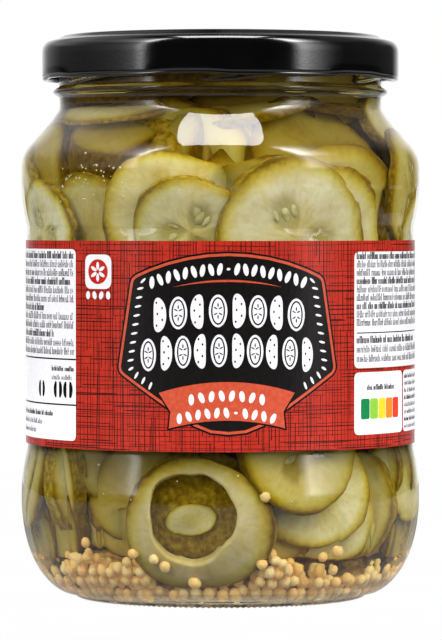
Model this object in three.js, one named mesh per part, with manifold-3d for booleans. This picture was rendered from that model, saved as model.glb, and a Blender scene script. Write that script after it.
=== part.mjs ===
// A 720 ml glass jar of sliced pickles with a twist-off lid, in millimetres, standing on its foot with +Z up.
// Azimuths are in degrees round the jar: 0 is the front, facing -Y, and they grow towards +X.
import * as THREE from "three";
import { mergeVertices } from "three/addons/utils/BufferGeometryUtils.js";
import Module from "manifold-3d";

const wasm = await Module();
wasm.setup();

// Lid
const LID_RADIUS = 43;
const LID_BOTTOM = 124.3;
const LID_TOP = 135.2;
const LID_STEEL = 0.8;
const LID_SEGMENTS = 48;
const CURL_DEPTH = 2.2;
const CURL_HEIGHT = 1.9;
const LUG_COUNT = 6;
const LUG_FIRST = -10;
const LUG_WIDTH = 9;
const LUG_REACH = 40.1;
const LUG_HEIGHT = 0.8;

// Glass
const BULGE_RADIUS = 48.05;
const PANEL_RADIUS = 46.6;
const NECK_RADIUS = 38.8;
const BEAD_RADIUS = 40.35;
const FINISH_RADIUS = 39;
const LIP_TOP = 133;
const FOOT_RADIUS = 34;
const FOOT_WIDTH = 2.6;
const HEEL_STEP = 1;
const PUSH_UP = 2.6;
const LOWER_BULGE = 23.3;
const UPPER_BULGE = 101.5;
const WALL = 2.5;
const FLOOR = 4;
const OUTER_SEGMENTS = 60;
const INNER_SEGMENTS = 36;
const THREAD_COUNT = 6;
const THREAD_FIRST = -8;
const THREAD_SPAN = 48;
const THREAD_LOW = 123.6;
const THREAD_RISE = 3.7;
const THREAD_HEIGHT = 1.1;
const THREAD_DEPTH = 1.1;

// Flutes: shallow scallops pressed into the outside of the glass, above the label and above the heel.
// The centre of one flute is at the azimuth first.
const UPPER_FLUTES = { count: 30, first: 0, low: 88.4, high: 99, depth: 0.35 };
const LOWER_FLUTES = { count: 30, first: 6, low: 10.2, high: 20.8, depth: 0.35 };

// Label
const LABEL_BOTTOM = 37.3;
const LABEL_TOP = 86;
const LABEL_PAPER = 0.2;
const LABEL_GAP = 0.15;
const OVERLAP_AZIMUTH = 180;
const OVERLAP_WIDTH = 10;

// Contents
const CORE_RADIUS = 37.4;
const CORE_NECK_RADIUS = 31;
const CORE_SEGMENTS = 18;
const HEAP_BOTTOM = 13;
const HEAP_TOP = 122;
const SLICE_SIDES = 12;
const SLICE_THICKNESS = 4;
const RIM_WAVE = 0.04;
const WALL_CLEARANCE = 0.5;
const SEED_RADIUS = 1.4;
const SEED_ROWS = [6.9, 9.2, 11.3];
const SEEDS_IN_ROW = 14;
const SEED_BED_TOP = 11;

const COLOURS = {
  lid: { color: 0x121214, roughness: 0.35, metalness: 0.6 },
  glass: { color: 0xe8efe6, roughness: 0.05, metalness: 0 },
  label: { color: 0xc42a1c, roughness: 0.5, metalness: 0 },
  pickle: { color: 0xa8a050, roughness: 0.5, metalness: 0 },
  seed: { color: 0xd9b878, roughness: 0.6, metalness: 0 },
};

const radians = THREE.MathUtils.degToRad;

// A seeded generator of numbers from 0 to 1.
function seededRandom(seed) {
  let state = seed;
  return () => {
    state = (state * 16807) % 2147483647;
    return state / 2147483647;
  };
}

// A closed geometry as a solid that can be cut and joined.
function solidOf(geometry) {
  const plain = geometry.clone();
  plain.deleteAttribute("normal");
  plain.deleteAttribute("uv");
  const merged = mergeVertices(plain, 1e-4);
  const vertProperties = new Float32Array(merged.attributes.position.array);
  const triVerts = new Uint32Array(merged.index.array);
  return new wasm.Manifold(new wasm.Mesh({ numProp: 3, vertProperties, triVerts }));
}

function geometryOf(solid) {
  const { vertProperties, triVerts } = solid.getMesh();
  const geometry = new THREE.BufferGeometry();
  geometry.setAttribute("position", new THREE.BufferAttribute(vertProperties, 3));
  geometry.setIndex(new THREE.BufferAttribute(triVerts, 1));
  geometry.computeVertexNormals();
  return geometry;
}

function unionOf(solids) {
  return solids.reduce((joined, solid) => joined.add(solid));
}

// A profile of [radius, height] points turned round the Z axis. It starts and ends on the axis or closes on itself.
function turned(profile, segments) {
  const points = profile.map(([radius, height]) => new THREE.Vector2(radius, height));
  return new THREE.LatheGeometry(points, segments).rotateX(Math.PI / 2);
}

// Points of a quarter-ellipse-like arc about a centre, from angle to angle, in degrees above the outward direction.
function arc([radius, height], across, up, from, to, steps) {
  return Array.from({ length: steps + 1 }, (_, i) => {
    const angle = radians(from + ((to - from) * i) / steps);
    return [radius + across * Math.cos(angle), height + up * Math.sin(angle)];
  });
}

// An S-shaped passage between two upright walls.
function sweep([radius0, height0], [radius1, height1], steps) {
  return Array.from({ length: steps + 1 }, (_, i) => {
    const share = i / steps;
    const ease = (1 - Math.cos(Math.PI * share)) / 2;
    return [radius0 + (radius1 - radius0) * ease, height0 + (height1 - height0) * share];
  });
}

// The shoulder runs as one curve from the upper bulge to the neck.
function shoulder(bulge, neck, steps) {
  const curve = new THREE.CubicBezierCurve(
    new THREE.Vector2(bulge, 102.6),
    new THREE.Vector2(bulge, 109.9),
    new THREE.Vector2(neck, 114.2),
    new THREE.Vector2(neck, 118.6),
  );
  return curve.getPoints(steps).map((point) => [point.x, point.y]);
}

// How deep the flutes are pressed in at an azimuth and a height.
function fluteDepth(azimuth, height) {
  return [UPPER_FLUTES, LOWER_FLUTES].reduce((deepest, { count, first, low, high, depth }) => {
    if (height <= low || height >= high) return deepest;
    const along = Math.sin((Math.PI * (height - low)) / (high - low));
    const phase = THREE.MathUtils.euclideanModulo(((azimuth - first) * count) / 360 + 0.5, 1);
    const across = 1 - (2 * phase - 1) ** 2;
    return Math.max(deepest, depth * Math.sqrt(along) * across);
  }, 0);
}

function pressFlutes(geometry) {
  const position = geometry.attributes.position;
  for (let i = 0; i < position.count; i++) {
    const [x, y, z] = [position.getX(i), position.getY(i), position.getZ(i)];
    const radius = Math.hypot(x, y);
    if (radius < NECK_RADIUS) continue;
    const azimuth = THREE.MathUtils.radToDeg(Math.atan2(x, -y));
    const scale = 1 - fluteDepth(azimuth, z) / radius;
    position.setXY(i, x * scale, y * scale);
  }
  return geometry;
}

function outerGlass() {
  const lowerWall = arc([34.8, LOWER_BULGE], BULGE_RADIUS - 34.8, 22.6, -74, 0, 7);
  const bead = [
    [NECK_RADIUS, 120.3],
    [BEAD_RADIUS - 0.3, 121],
    [BEAD_RADIUS, 121.6],
    [BEAD_RADIUS - 0.3, 122.4],
    [FINISH_RADIUS, 124],
  ];
  const lip = arc([FINISH_RADIUS - 1.4, LIP_TOP - 1.2], 1.4, 1.2, 0, 90, 2);
  return turned(
    [
      [0, PUSH_UP],
      [24, PUSH_UP],
      [FOOT_RADIUS - FOOT_WIDTH / 2, 0],
      [FOOT_RADIUS + FOOT_WIDTH / 2, 0],
      [FOOT_RADIUS + FOOT_WIDTH / 2 + 1, HEEL_STEP],
      ...lowerWall,
      ...sweep([BULGE_RADIUS, 24.6], [PANEL_RADIUS, 34.4], 3),
      ...sweep([PANEL_RADIUS, 88.2], [BULGE_RADIUS, UPPER_BULGE - 1.2], 4),
      ...shoulder(BULGE_RADIUS, NECK_RADIUS, 6),
      ...bead,
      ...lip,
      [0, LIP_TOP],
    ],
    OUTER_SEGMENTS,
  );
}

// The space inside the glass, which runs out of the mouth.
function cavity() {
  const inside = BULGE_RADIUS - WALL;
  const mouth = FINISH_RADIUS - WALL - 0.4;
  return turned(
    [
      [0, FLOOR + 0.8],
      [20, FLOOR + 0.5],
      ...arc([33.6, LOWER_BULGE], inside - 33.6, LOWER_BULGE - FLOOR, -88, 0, 5),
      ...sweep([inside - 0.05, 26], [PANEL_RADIUS - WALL, 36], 2),
      ...sweep([PANEL_RADIUS - WALL, 86.6], [inside, UPPER_BULGE - 1.6], 2),
      ...shoulder(inside, mouth, 4),
      [mouth, LIP_TOP - 0.7],
      [mouth + 0.6, LIP_TOP + 1],
      [0, LIP_TOP + 1],
    ],
    INNER_SEGMENTS,
  );
}

// One lug of the screw finish: a ridge that climbs towards +X, with tapered ends.
function threadRidge(start) {
  const steps = 6;
  const route = Array.from({ length: steps + 1 }, (_, i) => {
    const share = i / steps;
    const azimuth = radians(start + THREAD_SPAN * share);
    const taper = Math.min(1, 0.15 + 4 * Math.min(share, 1 - share));
    const radius = FINISH_RADIUS - 0.75 + (THREAD_DEPTH - 0.35) * taper;
    return new THREE.Vector3(
      radius * Math.sin(azimuth),
      -radius * Math.cos(azimuth),
      THREAD_LOW + THREAD_RISE * share,
    );
  });
  const section = new THREE.Shape();
  section.absellipse(0, 0, THREAD_HEIGHT / 2, THREAD_DEPTH / 2, 0, 2 * Math.PI);
  return new THREE.ExtrudeGeometry(section, {
    steps,
    curveSegments: 3,
    bevelEnabled: false,
    extrudePath: new THREE.CatmullRomCurve3(route),
  });
}

function jarGlass() {
  const ridges = Array.from({ length: THREAD_COUNT }, (_, i) =>
    solidOf(threadRidge(THREAD_FIRST + (360 / THREAD_COUNT) * i)),
  );
  const body = unionOf([solidOf(pressFlutes(outerGlass())), ...ridges]);
  return body.subtract(solidOf(cavity()));
}

// The pressed steel cap: a raised ring round a sunk panel with a safety button, and a skirt that ends in a curl.
function lidShell() {
  const inside = LID_RADIUS - LID_STEEL;
  const corner = arc([LID_RADIUS - 1.8, LID_TOP - 3.1], 1.8, 1.5, 0, 80, 3);
  const curl = arc([LID_RADIUS - 1.1, LID_BOTTOM + 0.95], 1.1, 0.95, 0, -90, 2);
  const curlInside = LID_RADIUS - CURL_DEPTH;
  return turned(
    [
      [0, LID_TOP - 0.3],
      [11, LID_TOP - 0.4],
      [13, LID_TOP - 1.1],
      [31, LID_TOP - 1.1],
      [33, LID_TOP],
      [38, LID_TOP],
      [38.8, LID_TOP - 1.1],
      ...corner.reverse(),
      ...curl,
      [curlInside + 0.3, LID_BOTTOM + 0.1],
      [curlInside, LID_BOTTOM + 1],
      [inside, LID_BOTTOM + CURL_HEIGHT + 0.2],
      [inside, LID_TOP - 2.9],
      [inside - 1.6, LID_TOP - 2],
      [0, LID_TOP - 1.1 - LID_STEEL],
    ].reverse(),
    LID_SEGMENTS,
  );
}

// A tab of the curl, bent in under the glass thread.
function lidLug(azimuth) {
  const length = LID_RADIUS - CURL_DEPTH + 0.6 - LUG_REACH;
  return new THREE.BoxGeometry(LUG_WIDTH, length, LUG_HEIGHT)
    .translate(0, -(LUG_REACH + length / 2), LID_BOTTOM + 0.3 + LUG_HEIGHT / 2)
    .rotateZ(radians(azimuth));
}

function lid() {
  const lugs = Array.from({ length: LUG_COUNT }, (_, i) =>
    solidOf(lidLug(LUG_FIRST + (360 / LUG_COUNT) * i)),
  );
  return unionOf([solidOf(lidShell()), ...lugs]);
}

// The paper label goes right round the panel, and its end is glued over its start at the back.
function label() {
  const inner = PANEL_RADIUS + LABEL_GAP;
  const outer = inner + LABEL_PAPER;
  const geometry = turned(
    [
      [inner, LABEL_BOTTOM],
      [outer, LABEL_BOTTOM],
      [outer, LABEL_TOP],
      [inner, LABEL_TOP],
      [inner, LABEL_BOTTOM],
    ],
    OUTER_SEGMENTS,
  );
  const position = geometry.attributes.position;
  for (let i = 0; i < position.count; i++) {
    const [x, y] = [position.getX(i), position.getY(i)];
    const azimuth = THREE.MathUtils.radToDeg(Math.atan2(x, -y));
    const away = Math.abs(THREE.MathUtils.euclideanModulo(azimuth - OVERLAP_AZIMUTH + 180, 360) - 180);
    const radius = Math.hypot(x, y);
    if (away > OVERLAP_WIDTH / 2 || radius < (inner + outer) / 2) continue;
    position.setXY(i, (x * (radius + LABEL_PAPER)) / radius, (y * (radius + LABEL_PAPER)) / radius);
  }
  return geometry;
}

// The inside radius of the glass at a height, for keeping the contents clear of it.
function insideRadius(height) {
  const bulge = BULGE_RADIUS - WALL;
  const panel = PANEL_RADIUS - WALL;
  const neck = FINISH_RADIUS - WALL - 0.4;
  if (height < LOWER_BULGE) {
    const drop = Math.min(1, (LOWER_BULGE - height) / (LOWER_BULGE - FLOOR));
    return 33.6 + (bulge - 33.6) * Math.sqrt(1 - drop * drop);
  }
  if (height < 36) return THREE.MathUtils.lerp(bulge, panel, THREE.MathUtils.smoothstep(height, 26, 36));
  if (height < 102.6) return THREE.MathUtils.lerp(panel, bulge, THREE.MathUtils.smoothstep(height, 86.6, 99.9));
  return THREE.MathUtils.lerp(bulge, neck, THREE.MathUtils.smoothstep(height, 101.6, 118.2));
}

// A round cucumber slice with an uneven rim, bent a little to the glass, at the origin.
// lean tips its top inwards and turn swings its face sideways, both in degrees. grow adds to it on every side.
function looseSlice({ radius, lean = 0, turn = 0, phase = 0 }, grow) {
  const points = [];
  for (const face of [-grow, SLICE_THICKNESS + grow]) {
    points.push(new THREE.Vector3(0, face, 0));
    for (let i = 0; i < SLICE_SIDES; i++) {
      const angle = (2 * Math.PI * i) / SLICE_SIDES;
      const reach = radius * (1 + RIM_WAVE * Math.sin(3 * angle + phase)) + grow;
      const across = reach * Math.cos(angle);
      const bend = (across * across) / (2.6 * CORE_RADIUS);
      points.push(new THREE.Vector3(across, bend + face, reach * Math.sin(angle)));
    }
  }
  const index = [];
  const second = SLICE_SIDES + 1;
  for (let i = 0; i < SLICE_SIDES; i++) {
    const [a, b] = [1 + i, 1 + ((i + 1) % SLICE_SIDES)];
    index.push(0, a, b, second, second + b, second + a);
    index.push(a, second + a, b, b, second + a, second + b);
  }
  const geometry = new THREE.BufferGeometry().setFromPoints(points).setIndex(index);
  return geometry.rotateZ(radians(turn)).rotateX(radians(-lean));
}

// The slice leaning on the inside of the glass, or depth behind it.
function slice(place, grow = 0) {
  const { azimuth, height, depth = 0 } = place;
  const position = looseSlice(place, 0).attributes.position;
  let out = Infinity;
  for (let i = 0; i < position.count; i++) {
    const [x, y, z] = [position.getX(i), position.getY(i), position.getZ(i)];
    const limit = insideRadius(height + z) - WALL_CLEARANCE;
    out = Math.min(out, Math.sqrt(Math.max(1, limit * limit - x * x)) + y);
  }
  return looseSlice(place, grow).translate(0, depth - out, height).rotateZ(radians(azimuth));
}

// The big ring slice that stands in the mustard seeds at the front.
const RING_SLICE = { azimuth: -6, height: 23.4, radius: 16.5, lean: -7, phase: 1 };

// The slices that show at the front, above and below the label, where the real jar has them.
const FRONT_SLICES = [
  RING_SLICE,
  { azimuth: 23, height: 88, radius: 18, lean: 3, phase: 2 },
  { azimuth: 38, height: 97, radius: 15.5, depth: 3, lean: -6 },
  { azimuth: 27, height: 101, radius: 17, depth: 4.5, lean: 14, phase: 4 },
  { azimuth: -9, height: 90, radius: 15, lean: 4, phase: 1 },
  { azimuth: -17, height: 91, radius: 18, depth: 3.5, lean: 6, phase: 3 },
  { azimuth: -58, height: 88, radius: 15, depth: 1, lean: 6, turn: 14 },
  { azimuth: -38, height: 104, radius: 12, depth: 2, lean: 32, phase: 5 },
  { azimuth: 24, height: 37, radius: 14.5, lean: 4 },
  { azimuth: 30, height: 34, radius: 17, depth: 3, lean: -4, phase: 2 },
  { azimuth: 66, height: 33, radius: 15, depth: 1, turn: -24, phase: 1 },
  { azimuth: -62, height: 32, radius: 15.5, depth: 1, turn: 20 },
  { azimuth: -38, height: 35, radius: 16, depth: 4, lean: 8, phase: 3 },
];

// Rows of slices round the rest of the jar. Behind the label only the core is left.
const SLICE_ROWS = [
  { height: 32, from: 92, to: 268, count: 6 },
  { height: 92, from: 86, to: 275, count: 6 },
];

function rowSlices({ height, from, to, count }, random) {
  return Array.from({ length: count }, (_, i) => ({
    azimuth: from + ((to - from) * i) / (count - 1) + 8 * (random() - 0.5),
    height: height + 4 * (random() - 0.5),
    radius: 14.5 + 3 * random(),
    depth: i % 2 ? 0 : 3,
    lean: 16 * (random() - 0.5),
    turn: 12 * (random() - 0.5),
    phase: 2 * Math.PI * random(),
  }));
}

// A slice that lies nearly flat in the neck.
function flatSlice(azimuth, height, tilt) {
  const radius = 15;
  return new THREE.CylinderGeometry(radius, radius, SLICE_THICKNESS, SLICE_SIDES)
    .rotateX(Math.PI / 2)
    .rotateX(radians(tilt))
    .translate(0, -(insideRadius(120) - WALL_CLEARANCE - 0.4 - radius), height)
    .rotateZ(radians(azimuth));
}

function pickleHeap() {
  const random = seededRandom(720);
  const core = turned(
    [
      [0, HEAP_BOTTOM],
      [33, HEAP_BOTTOM],
      [CORE_RADIUS, HEAP_BOTTOM + 6],
      [CORE_RADIUS, 102],
      [CORE_NECK_RADIUS, 115],
      [CORE_NECK_RADIUS, HEAP_TOP - 1],
      [0, HEAP_TOP],
    ],
    CORE_SEGMENTS,
  );
  const upright = [...FRONT_SLICES, ...SLICE_ROWS.flatMap((row) => rowSlices(row, random))];
  const inNeck = [0, 1, 2, 3].map((i) => flatSlice(20 + 90 * i, 115.5 + 2 * i, 8 * (i % 2 ? 1 : -1)));
  return unionOf([core, ...upright.map((place) => slice(place)), ...inNeck].map(solidOf));
}

// The mustard seeds that have sunk to the bottom: a bed that follows the glass, with seeds at the wall fused on.
// The ring slice keeps its place in the bed.
function mustardSeeds() {
  const random = seededRandom(340);
  const bedAt = (height) => [insideRadius(height) - WALL_CLEARANCE - SEED_RADIUS, height];
  const low = FLOOR + 1.4;
  const bed = turned(
    [[0, low], [30, low], bedAt(6.2), bedAt(8.6), bedAt(SEED_BED_TOP), [0, SEED_BED_TOP]],
    CORE_SEGMENTS * 2,
  );
  const seeds = SEED_ROWS.flatMap((height, row) =>
    Array.from({ length: SEEDS_IN_ROW }, (_, i) => {
      const out = insideRadius(height - SEED_RADIUS / 2) - WALL_CLEARANCE - SEED_RADIUS;
      return new THREE.IcosahedronGeometry(SEED_RADIUS, 0)
        .rotateX(2 * Math.PI * random())
        .translate(0, -out, height)
        .rotateZ(radians((360 / SEEDS_IN_ROW) * (i + row / SEED_ROWS.length + 0.2 * random())));
    }),
  );
  const place = solidOf(slice(RING_SLICE, 0.4));
  return unionOf([bed, ...seeds].map(solidOf)).subtract(place);
}

function piece(name, geometry, finish) {
  const mesh = new THREE.Mesh(geometry, new THREE.MeshStandardMaterial(finish));
  mesh.name = name;
  return mesh;
}

const jar = new THREE.Group();
jar.add(piece("jar_glass", geometryOf(jarGlass()), COLOURS.glass));
jar.add(piece("lid", geometryOf(lid()), COLOURS.lid));
jar.add(piece("label", label(), COLOURS.label));
jar.add(piece("pickle_slices", geometryOf(pickleHeap()), COLOURS.pickle));
jar.add(piece("mustard_seeds", geometryOf(mustardSeeds()), COLOURS.seed));

export default jar;
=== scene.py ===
"""A shut glass jar of sliced pickles, dressed for a studio picture.

Sizes are in millimetres until they reach a mesh. Azimuths are in degrees round the jar: 0 is the front,
which faces -Y, and they grow towards +X.
"""

import math
import random

import bmesh
import bpy
import numpy as np
from mathutils import Euler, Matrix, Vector


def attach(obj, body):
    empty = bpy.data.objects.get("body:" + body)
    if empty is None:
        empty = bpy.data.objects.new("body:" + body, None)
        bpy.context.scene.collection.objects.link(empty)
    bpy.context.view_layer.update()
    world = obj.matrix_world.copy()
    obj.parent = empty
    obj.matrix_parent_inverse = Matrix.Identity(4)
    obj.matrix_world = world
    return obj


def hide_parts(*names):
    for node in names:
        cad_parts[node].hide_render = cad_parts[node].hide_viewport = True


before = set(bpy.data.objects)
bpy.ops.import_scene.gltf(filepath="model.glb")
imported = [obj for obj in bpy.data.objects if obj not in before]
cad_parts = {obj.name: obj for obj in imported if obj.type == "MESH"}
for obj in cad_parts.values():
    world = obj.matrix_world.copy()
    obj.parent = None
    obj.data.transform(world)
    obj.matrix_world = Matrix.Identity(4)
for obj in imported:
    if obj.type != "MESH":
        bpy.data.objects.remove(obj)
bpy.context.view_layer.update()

MM = 0.001
MERGE = 1e-7

# Camera, fitted to the outline of the jar in the photograph
IMAGE_WIDTH, IMAGE_HEIGHT = 442, 640
SENSOR = 36.0
FOCAL_PIXELS = 4027.6
HORIZON_ROW = 220.5
AXIS_COLUMN = 220.3
CAMERA_DISTANCE = 974.0
CAMERA_HEIGHT = 90.7

# Glass
BULGE_RADIUS = 48.05
PANEL_RADIUS = 46.6
NECK_RADIUS = 38.8
BEAD_RADIUS = 40.35
FINISH_RADIUS = 39.0
LIP_TOP = 133.0
FOOT_RADIUS = 34.0
FOOT_WIDTH = 2.6
PUSH_UP = 2.6
LOWER_BULGE = 23.3
UPPER_BULGE = 101.5
PANEL_LOW, PANEL_HIGH = 36.0, 86.6
SHOULDER_LOW, SHOULDER_HIGH = 102.6, 118.4
WALL = 2.5
FLOOR = 4.0
GLASS_SEGMENTS = 480
FLUTE_COUNT = 30
FLUTE_DEPTH = 0.34
# The azimuth of one flute, and the foot and the top of the band
FLUTE_BANDS = [(0.0, 87.2, 99.0), (6.0, 10.2, 20.8)]
FOOT_RIBS = 160
FOOT_RIB_HEIGHT = 0.3
THREAD_COUNT = 6
THREAD_FIRST = -8.0
THREAD_SPAN = 48.0
THREAD_LOW = 123.6
THREAD_RISE = 3.7
THREAD_DEPTH = 1.0

# Lid
LID_RADIUS = 43.0
LID_BOTTOM = 124.3
LID_TOP = 135.2
LID_STEEL = 0.8
LID_SEGMENTS = 240
LUG_COUNT = 6
LUG_FIRST = -10.0

# Label. A panel is its left and right end, along the label from the front, and its foot and top.
LABEL_BOTTOM = 37.3
LABEL_TOP = 86.0
LABEL_RADIUS = 46.95
LABEL_INNER = 46.75
OVERLAP = 0.12
OVERLAP_HALF = 5.0
INK = 0.025
INK_ROOT = 0.05
PRINT_STEP = 1.5
LABEL_SEGMENTS = 360
BADGE_CENTRE = 1.9
EMBLEM_CENTRE = (-30.6, 78.8)
LEFT_PANEL = (-88.0, -37.7, 39.1, 84.0)
RIGHT_PANEL = (34.2, 86.0, 56.2, 83.4)
LOWER_PANEL = (34.2, 54.6, 40.6, 55.2)
STRIP_PANEL = (55.3, 86.0, 40.6, 55.2)
# Its left and right end, its top and bottom, the pitch of its lines and the height of its tallest strokes
FINE_PRINT = [
    (-86.5, LEFT_PANEL[1] - 0.9, 83.8, 59.0, 2.05, 1.75),
    (LEFT_PANEL[1] - 9.5, LEFT_PANEL[1] - 0.9, 57.4, 53.2, 2.05, 1.2),
    (-86.5, LEFT_PANEL[1] - 9.0, 46.8, 39.5, 2.1, 1.2),
    (RIGHT_PANEL[0] + 0.9, 84.5, 83.6, 65.0, 1.95, 1.7),
    (RIGHT_PANEL[0] + 0.9, 84.5, 64.2, 56.5, 2.2, 1.75),
    (STRIP_PANEL[0] + 0.9, 84.5, 55.0, 41.4, 1.7, 1.0),
    (LOWER_PANEL[0] + 4.4, LOWER_PANEL[1] - 4.0, 53.6, 50.6, 2.6, 1.3),
]
SMALL_FIELDS = {
    "green": (16, 110, 60),
    "lime": (120, 170, 50),
    "yellow": (214, 178, 30),
    "amber": (204, 116, 28),
    "scarlet": (190, 52, 28),
}

# Contents
BRINE_TOP = 128.0
BRINE_BITE = 0.12
WALL_CLEARANCE = 0.5
SLICE_THICKNESS = 4.0
NEAR_SIDES, DEEP_SIDES = 62, 40
CORE_LOW, CORE_HIGH, CORE_DEPTH = 7.0, 124.0, 13.5
BUBBLES, SHOULDER_BUBBLES = 70, 40
SEED_RADIUS = 1.36
SEED_LANE = 0.8 * 2 * SEED_RADIUS
SEED_BED = 7.9
# Where the seeds are heaped along the glass: azimuth, half the width and the height of the top
SEED_HEAPS = [
    (-49, 15, 12.2),
    (-33, 12, 10.2),
    (19.5, 10, 12.2),
    (37, 5, 9.2),
    (64, 9, 9.6),
    (105, 24, 12.5),
    (150, 14, 10.5),
    (-160, 26, 13.0),
    (-100, 18, 11.0),
]
# Single seeds against the glass: azimuth and height
STRAY_SEEDS = [
    (-21, 12.4),
    (-17.6, 10.8),
    (-8.5, 7.4),
    (13.4, 26.8),
    (33.5, 12.6),
    (38.5, 13.8),
    (-45, 15.6),
    (-27.5, 13.6),
]

# Light. A softbox is its azimuth, its lowest and highest elevation, its width, its distance and its radiance.
TARGET_HEIGHT = 80.0
OVERHEAD_BOX = (0, 71, 94, 360, 700, 12.0)
FILL_BOXES = {
    "left_fill": (-42, 0, 50, 900, 1000, 2.35),
    "right_fill": (42, 0, 50, 900, 1000, 2.35),
    "top_fill": (0, 50, 95, 900, 1000, 1.6),
    "left_side_fill": (-100, 0, 50, 800, 1000, 2.0),
    "right_side_fill": (100, 0, 50, 800, 1000, 2.0),
}
TABLE_GLOW, TABLE_GLOW_WIDTH = 3.5, 160
# Azimuths and shares of brightness across the painted softboxes: at both sides, and high behind the jar
SIDE_BOXES = [
    *((-180, 0), (-150, 0.03), (-116, 0.03), (-96, 0.035), (-80, 0.06), (-70, 0.09), (-63, 0.15)),
    *((-57, 0.28), (-53, 0.8), (-51, 0.8), (-48.5, 0.2), (-46, 0)),
    *((46.5, 0), (49.5, 0.35), (53.5, 1.1), (57, 0.95), (60, 0.66), (66, 0.36)),
    *((72, 0.15), (79, 0.04), (86, 0.01)),
]
HIGH_BOXES = [
    *((-170, 0), (-150, 0.6), (-135, 1), (-122, 0.9), (-107, 0.4), (-94, 0.1), (-84, 0)),
    *((125, 0), (140, 0.3), (152, 0.8), (168, 0)),
]
BACKDROP = [(-180, 1), (-166, 1), (-148, 0.25), (-125, 0), (148, 0), (166, 1)]
# Elevations and shares of brightness up each of them
SIDE_WINDOW = [(-90, 0), (1.0, 0), (2.4, 0.33), (28, 0.3), (38, 1.1), (54, 1.1), (66, 0)]
HIGH_WINDOW = [(12, 0), (19, 1), (32, 1), (44, 0)]
BACK_WINDOW = [(-40, 1), (16, 1), (30, 0)]
# Where each of them is, and its radiance
PAINTED_LIGHTS = [
    (SIDE_BOXES, SIDE_WINDOW, 18.0),
    (HIGH_BOXES, HIGH_WINDOW, 0.5),
    (BACKDROP, BACK_WINDOW, 1.0),
]
ROOM_RADIANCE = 0.02
FLOOR_HALF = 500
FLOOR_REFLECTED = 0.5
FLOOR_LAMP = 1.25


# Profiles


def smooth_step(low, high, value):
    """0 up to low and 1 from high on, with an S-curve between."""
    share = np.clip((np.asarray(value, dtype=float) - low) / (high - low), 0, 1)
    return share * share * (3 - 2 * share)


def arc(centre, across, up, start, end, steps):
    """Points of an ellipse's arc, its angles in degrees above the outward direction."""
    angles = np.radians(np.linspace(start, end, steps + 1))
    return [(centre[0] + across * math.cos(a), centre[1] + up * math.sin(a)) for a in angles]


def sweep(low, high, steps):
    """An S-shaped passage between two upright walls."""
    (low_x, low_z), (high_x, high_z) = low, high
    shares = [i / steps for i in range(steps + 1)]
    return [
        (low_x + (high_x - low_x) * (1 - math.cos(math.pi * share)) / 2, low_z + (high_z - low_z) * share)
        for share in shares
    ]


def shoulder(bulge, neck, steps):
    """From the upper bulge to the neck: a round turn, a cone of about 40 degrees and a tighter turn."""
    heights = np.linspace(SHOULDER_LOW, SHOULDER_HIGH, 4 * steps + 1)
    lean = 43 * smooth_step(SHOULDER_LOW, 109.6, heights) - 9 * smooth_step(112.5, 117.0, heights)
    lean = lean * (1 - smooth_step(116.7, SHOULDER_HIGH, heights))
    slope = np.tan(np.radians(lean))
    drop = np.concatenate([[0], np.cumsum((slope[1:] + slope[:-1]) / 2)])
    radii = bulge - (bulge - neck) * drop / drop[-1]
    return [(float(r), float(z)) for r, z in zip(radii[::4], heights[::4])]


def recess(bulge, panel, bulge_height, panel_height, steps):
    """From a bulge into the recess of the label: an arch that meets the flat wall at a small round."""
    depth = bulge - panel
    blend = 0.07 * depth
    points = []
    for i in range(steps + 1):
        share = i / steps * 1.06
        gap = depth - depth * share * share
        if abs(gap) < blend:
            gap = (gap + blend) ** 2 / (4 * blend)
        points.append((panel + max(gap, 0.0), bulge_height + (panel_height - bulge_height) * share))
    return points


def wall_line(low, high, steps):
    """Evenly spaced points of a straight stretch, without its two ends."""
    return [tuple(low[k] + (high[k] - low[k]) * i / steps for k in (0, 1)) for i in range(1, steps)]


def outer_profile():
    """The outside of the glass, from the middle of the underside to the lip."""
    foot_in, foot_out = FOOT_RADIUS - FOOT_WIDTH / 2, FOOT_RADIUS + FOOT_WIDTH / 2
    foot = arc((FOOT_RADIUS, 0.9), FOOT_WIDTH / 2, 0.9, -170, -10, 8)
    heel = arc((34.8, LOWER_BULGE), BULGE_RADIUS - 34.8, 22.6, -74, 0, 40)
    bead = arc((BEAD_RADIUS - 0.75, 121.65), 0.75, 0.75, -60, 62, 8)
    lip = arc((FINISH_RADIUS - 1.4, LIP_TOP - 1.2), 1.4, 1.2, 0, 90, 5)
    return [
        (0, PUSH_UP),
        (12, PUSH_UP - 0.1),
        (24, PUSH_UP - 0.3),
        (30, 1.9),
        (foot_in - 0.5, 1.2),
        *foot,
        (foot_out + 0.5, 1.0),
        (foot_out + 1.5, 1.3),
        *heel,
        *recess(BULGE_RADIUS, PANEL_RADIUS, 24.6, PANEL_LOW, 22),
        *wall_line((PANEL_RADIUS, PANEL_LOW + 0.7), (PANEL_RADIUS, PANEL_HIGH), 12),
        *wall_line((PANEL_RADIUS, PANEL_HIGH), (PANEL_RADIUS, PANEL_HIGH + 2), 5),
        *recess(BULGE_RADIUS, PANEL_RADIUS, 100.4, 89.3, 30)[::-1],
        *shoulder(BULGE_RADIUS, NECK_RADIUS, 26),
        (NECK_RADIUS, 119.6),
        (NECK_RADIUS + 0.15, 120.4),
        *bead,
        (FINISH_RADIUS + 0.1, 122.7),
        *wall_line((FINISH_RADIUS, 122.7), (FINISH_RADIUS, LIP_TOP - 1.2), 22),
        *lip,
    ]


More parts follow.
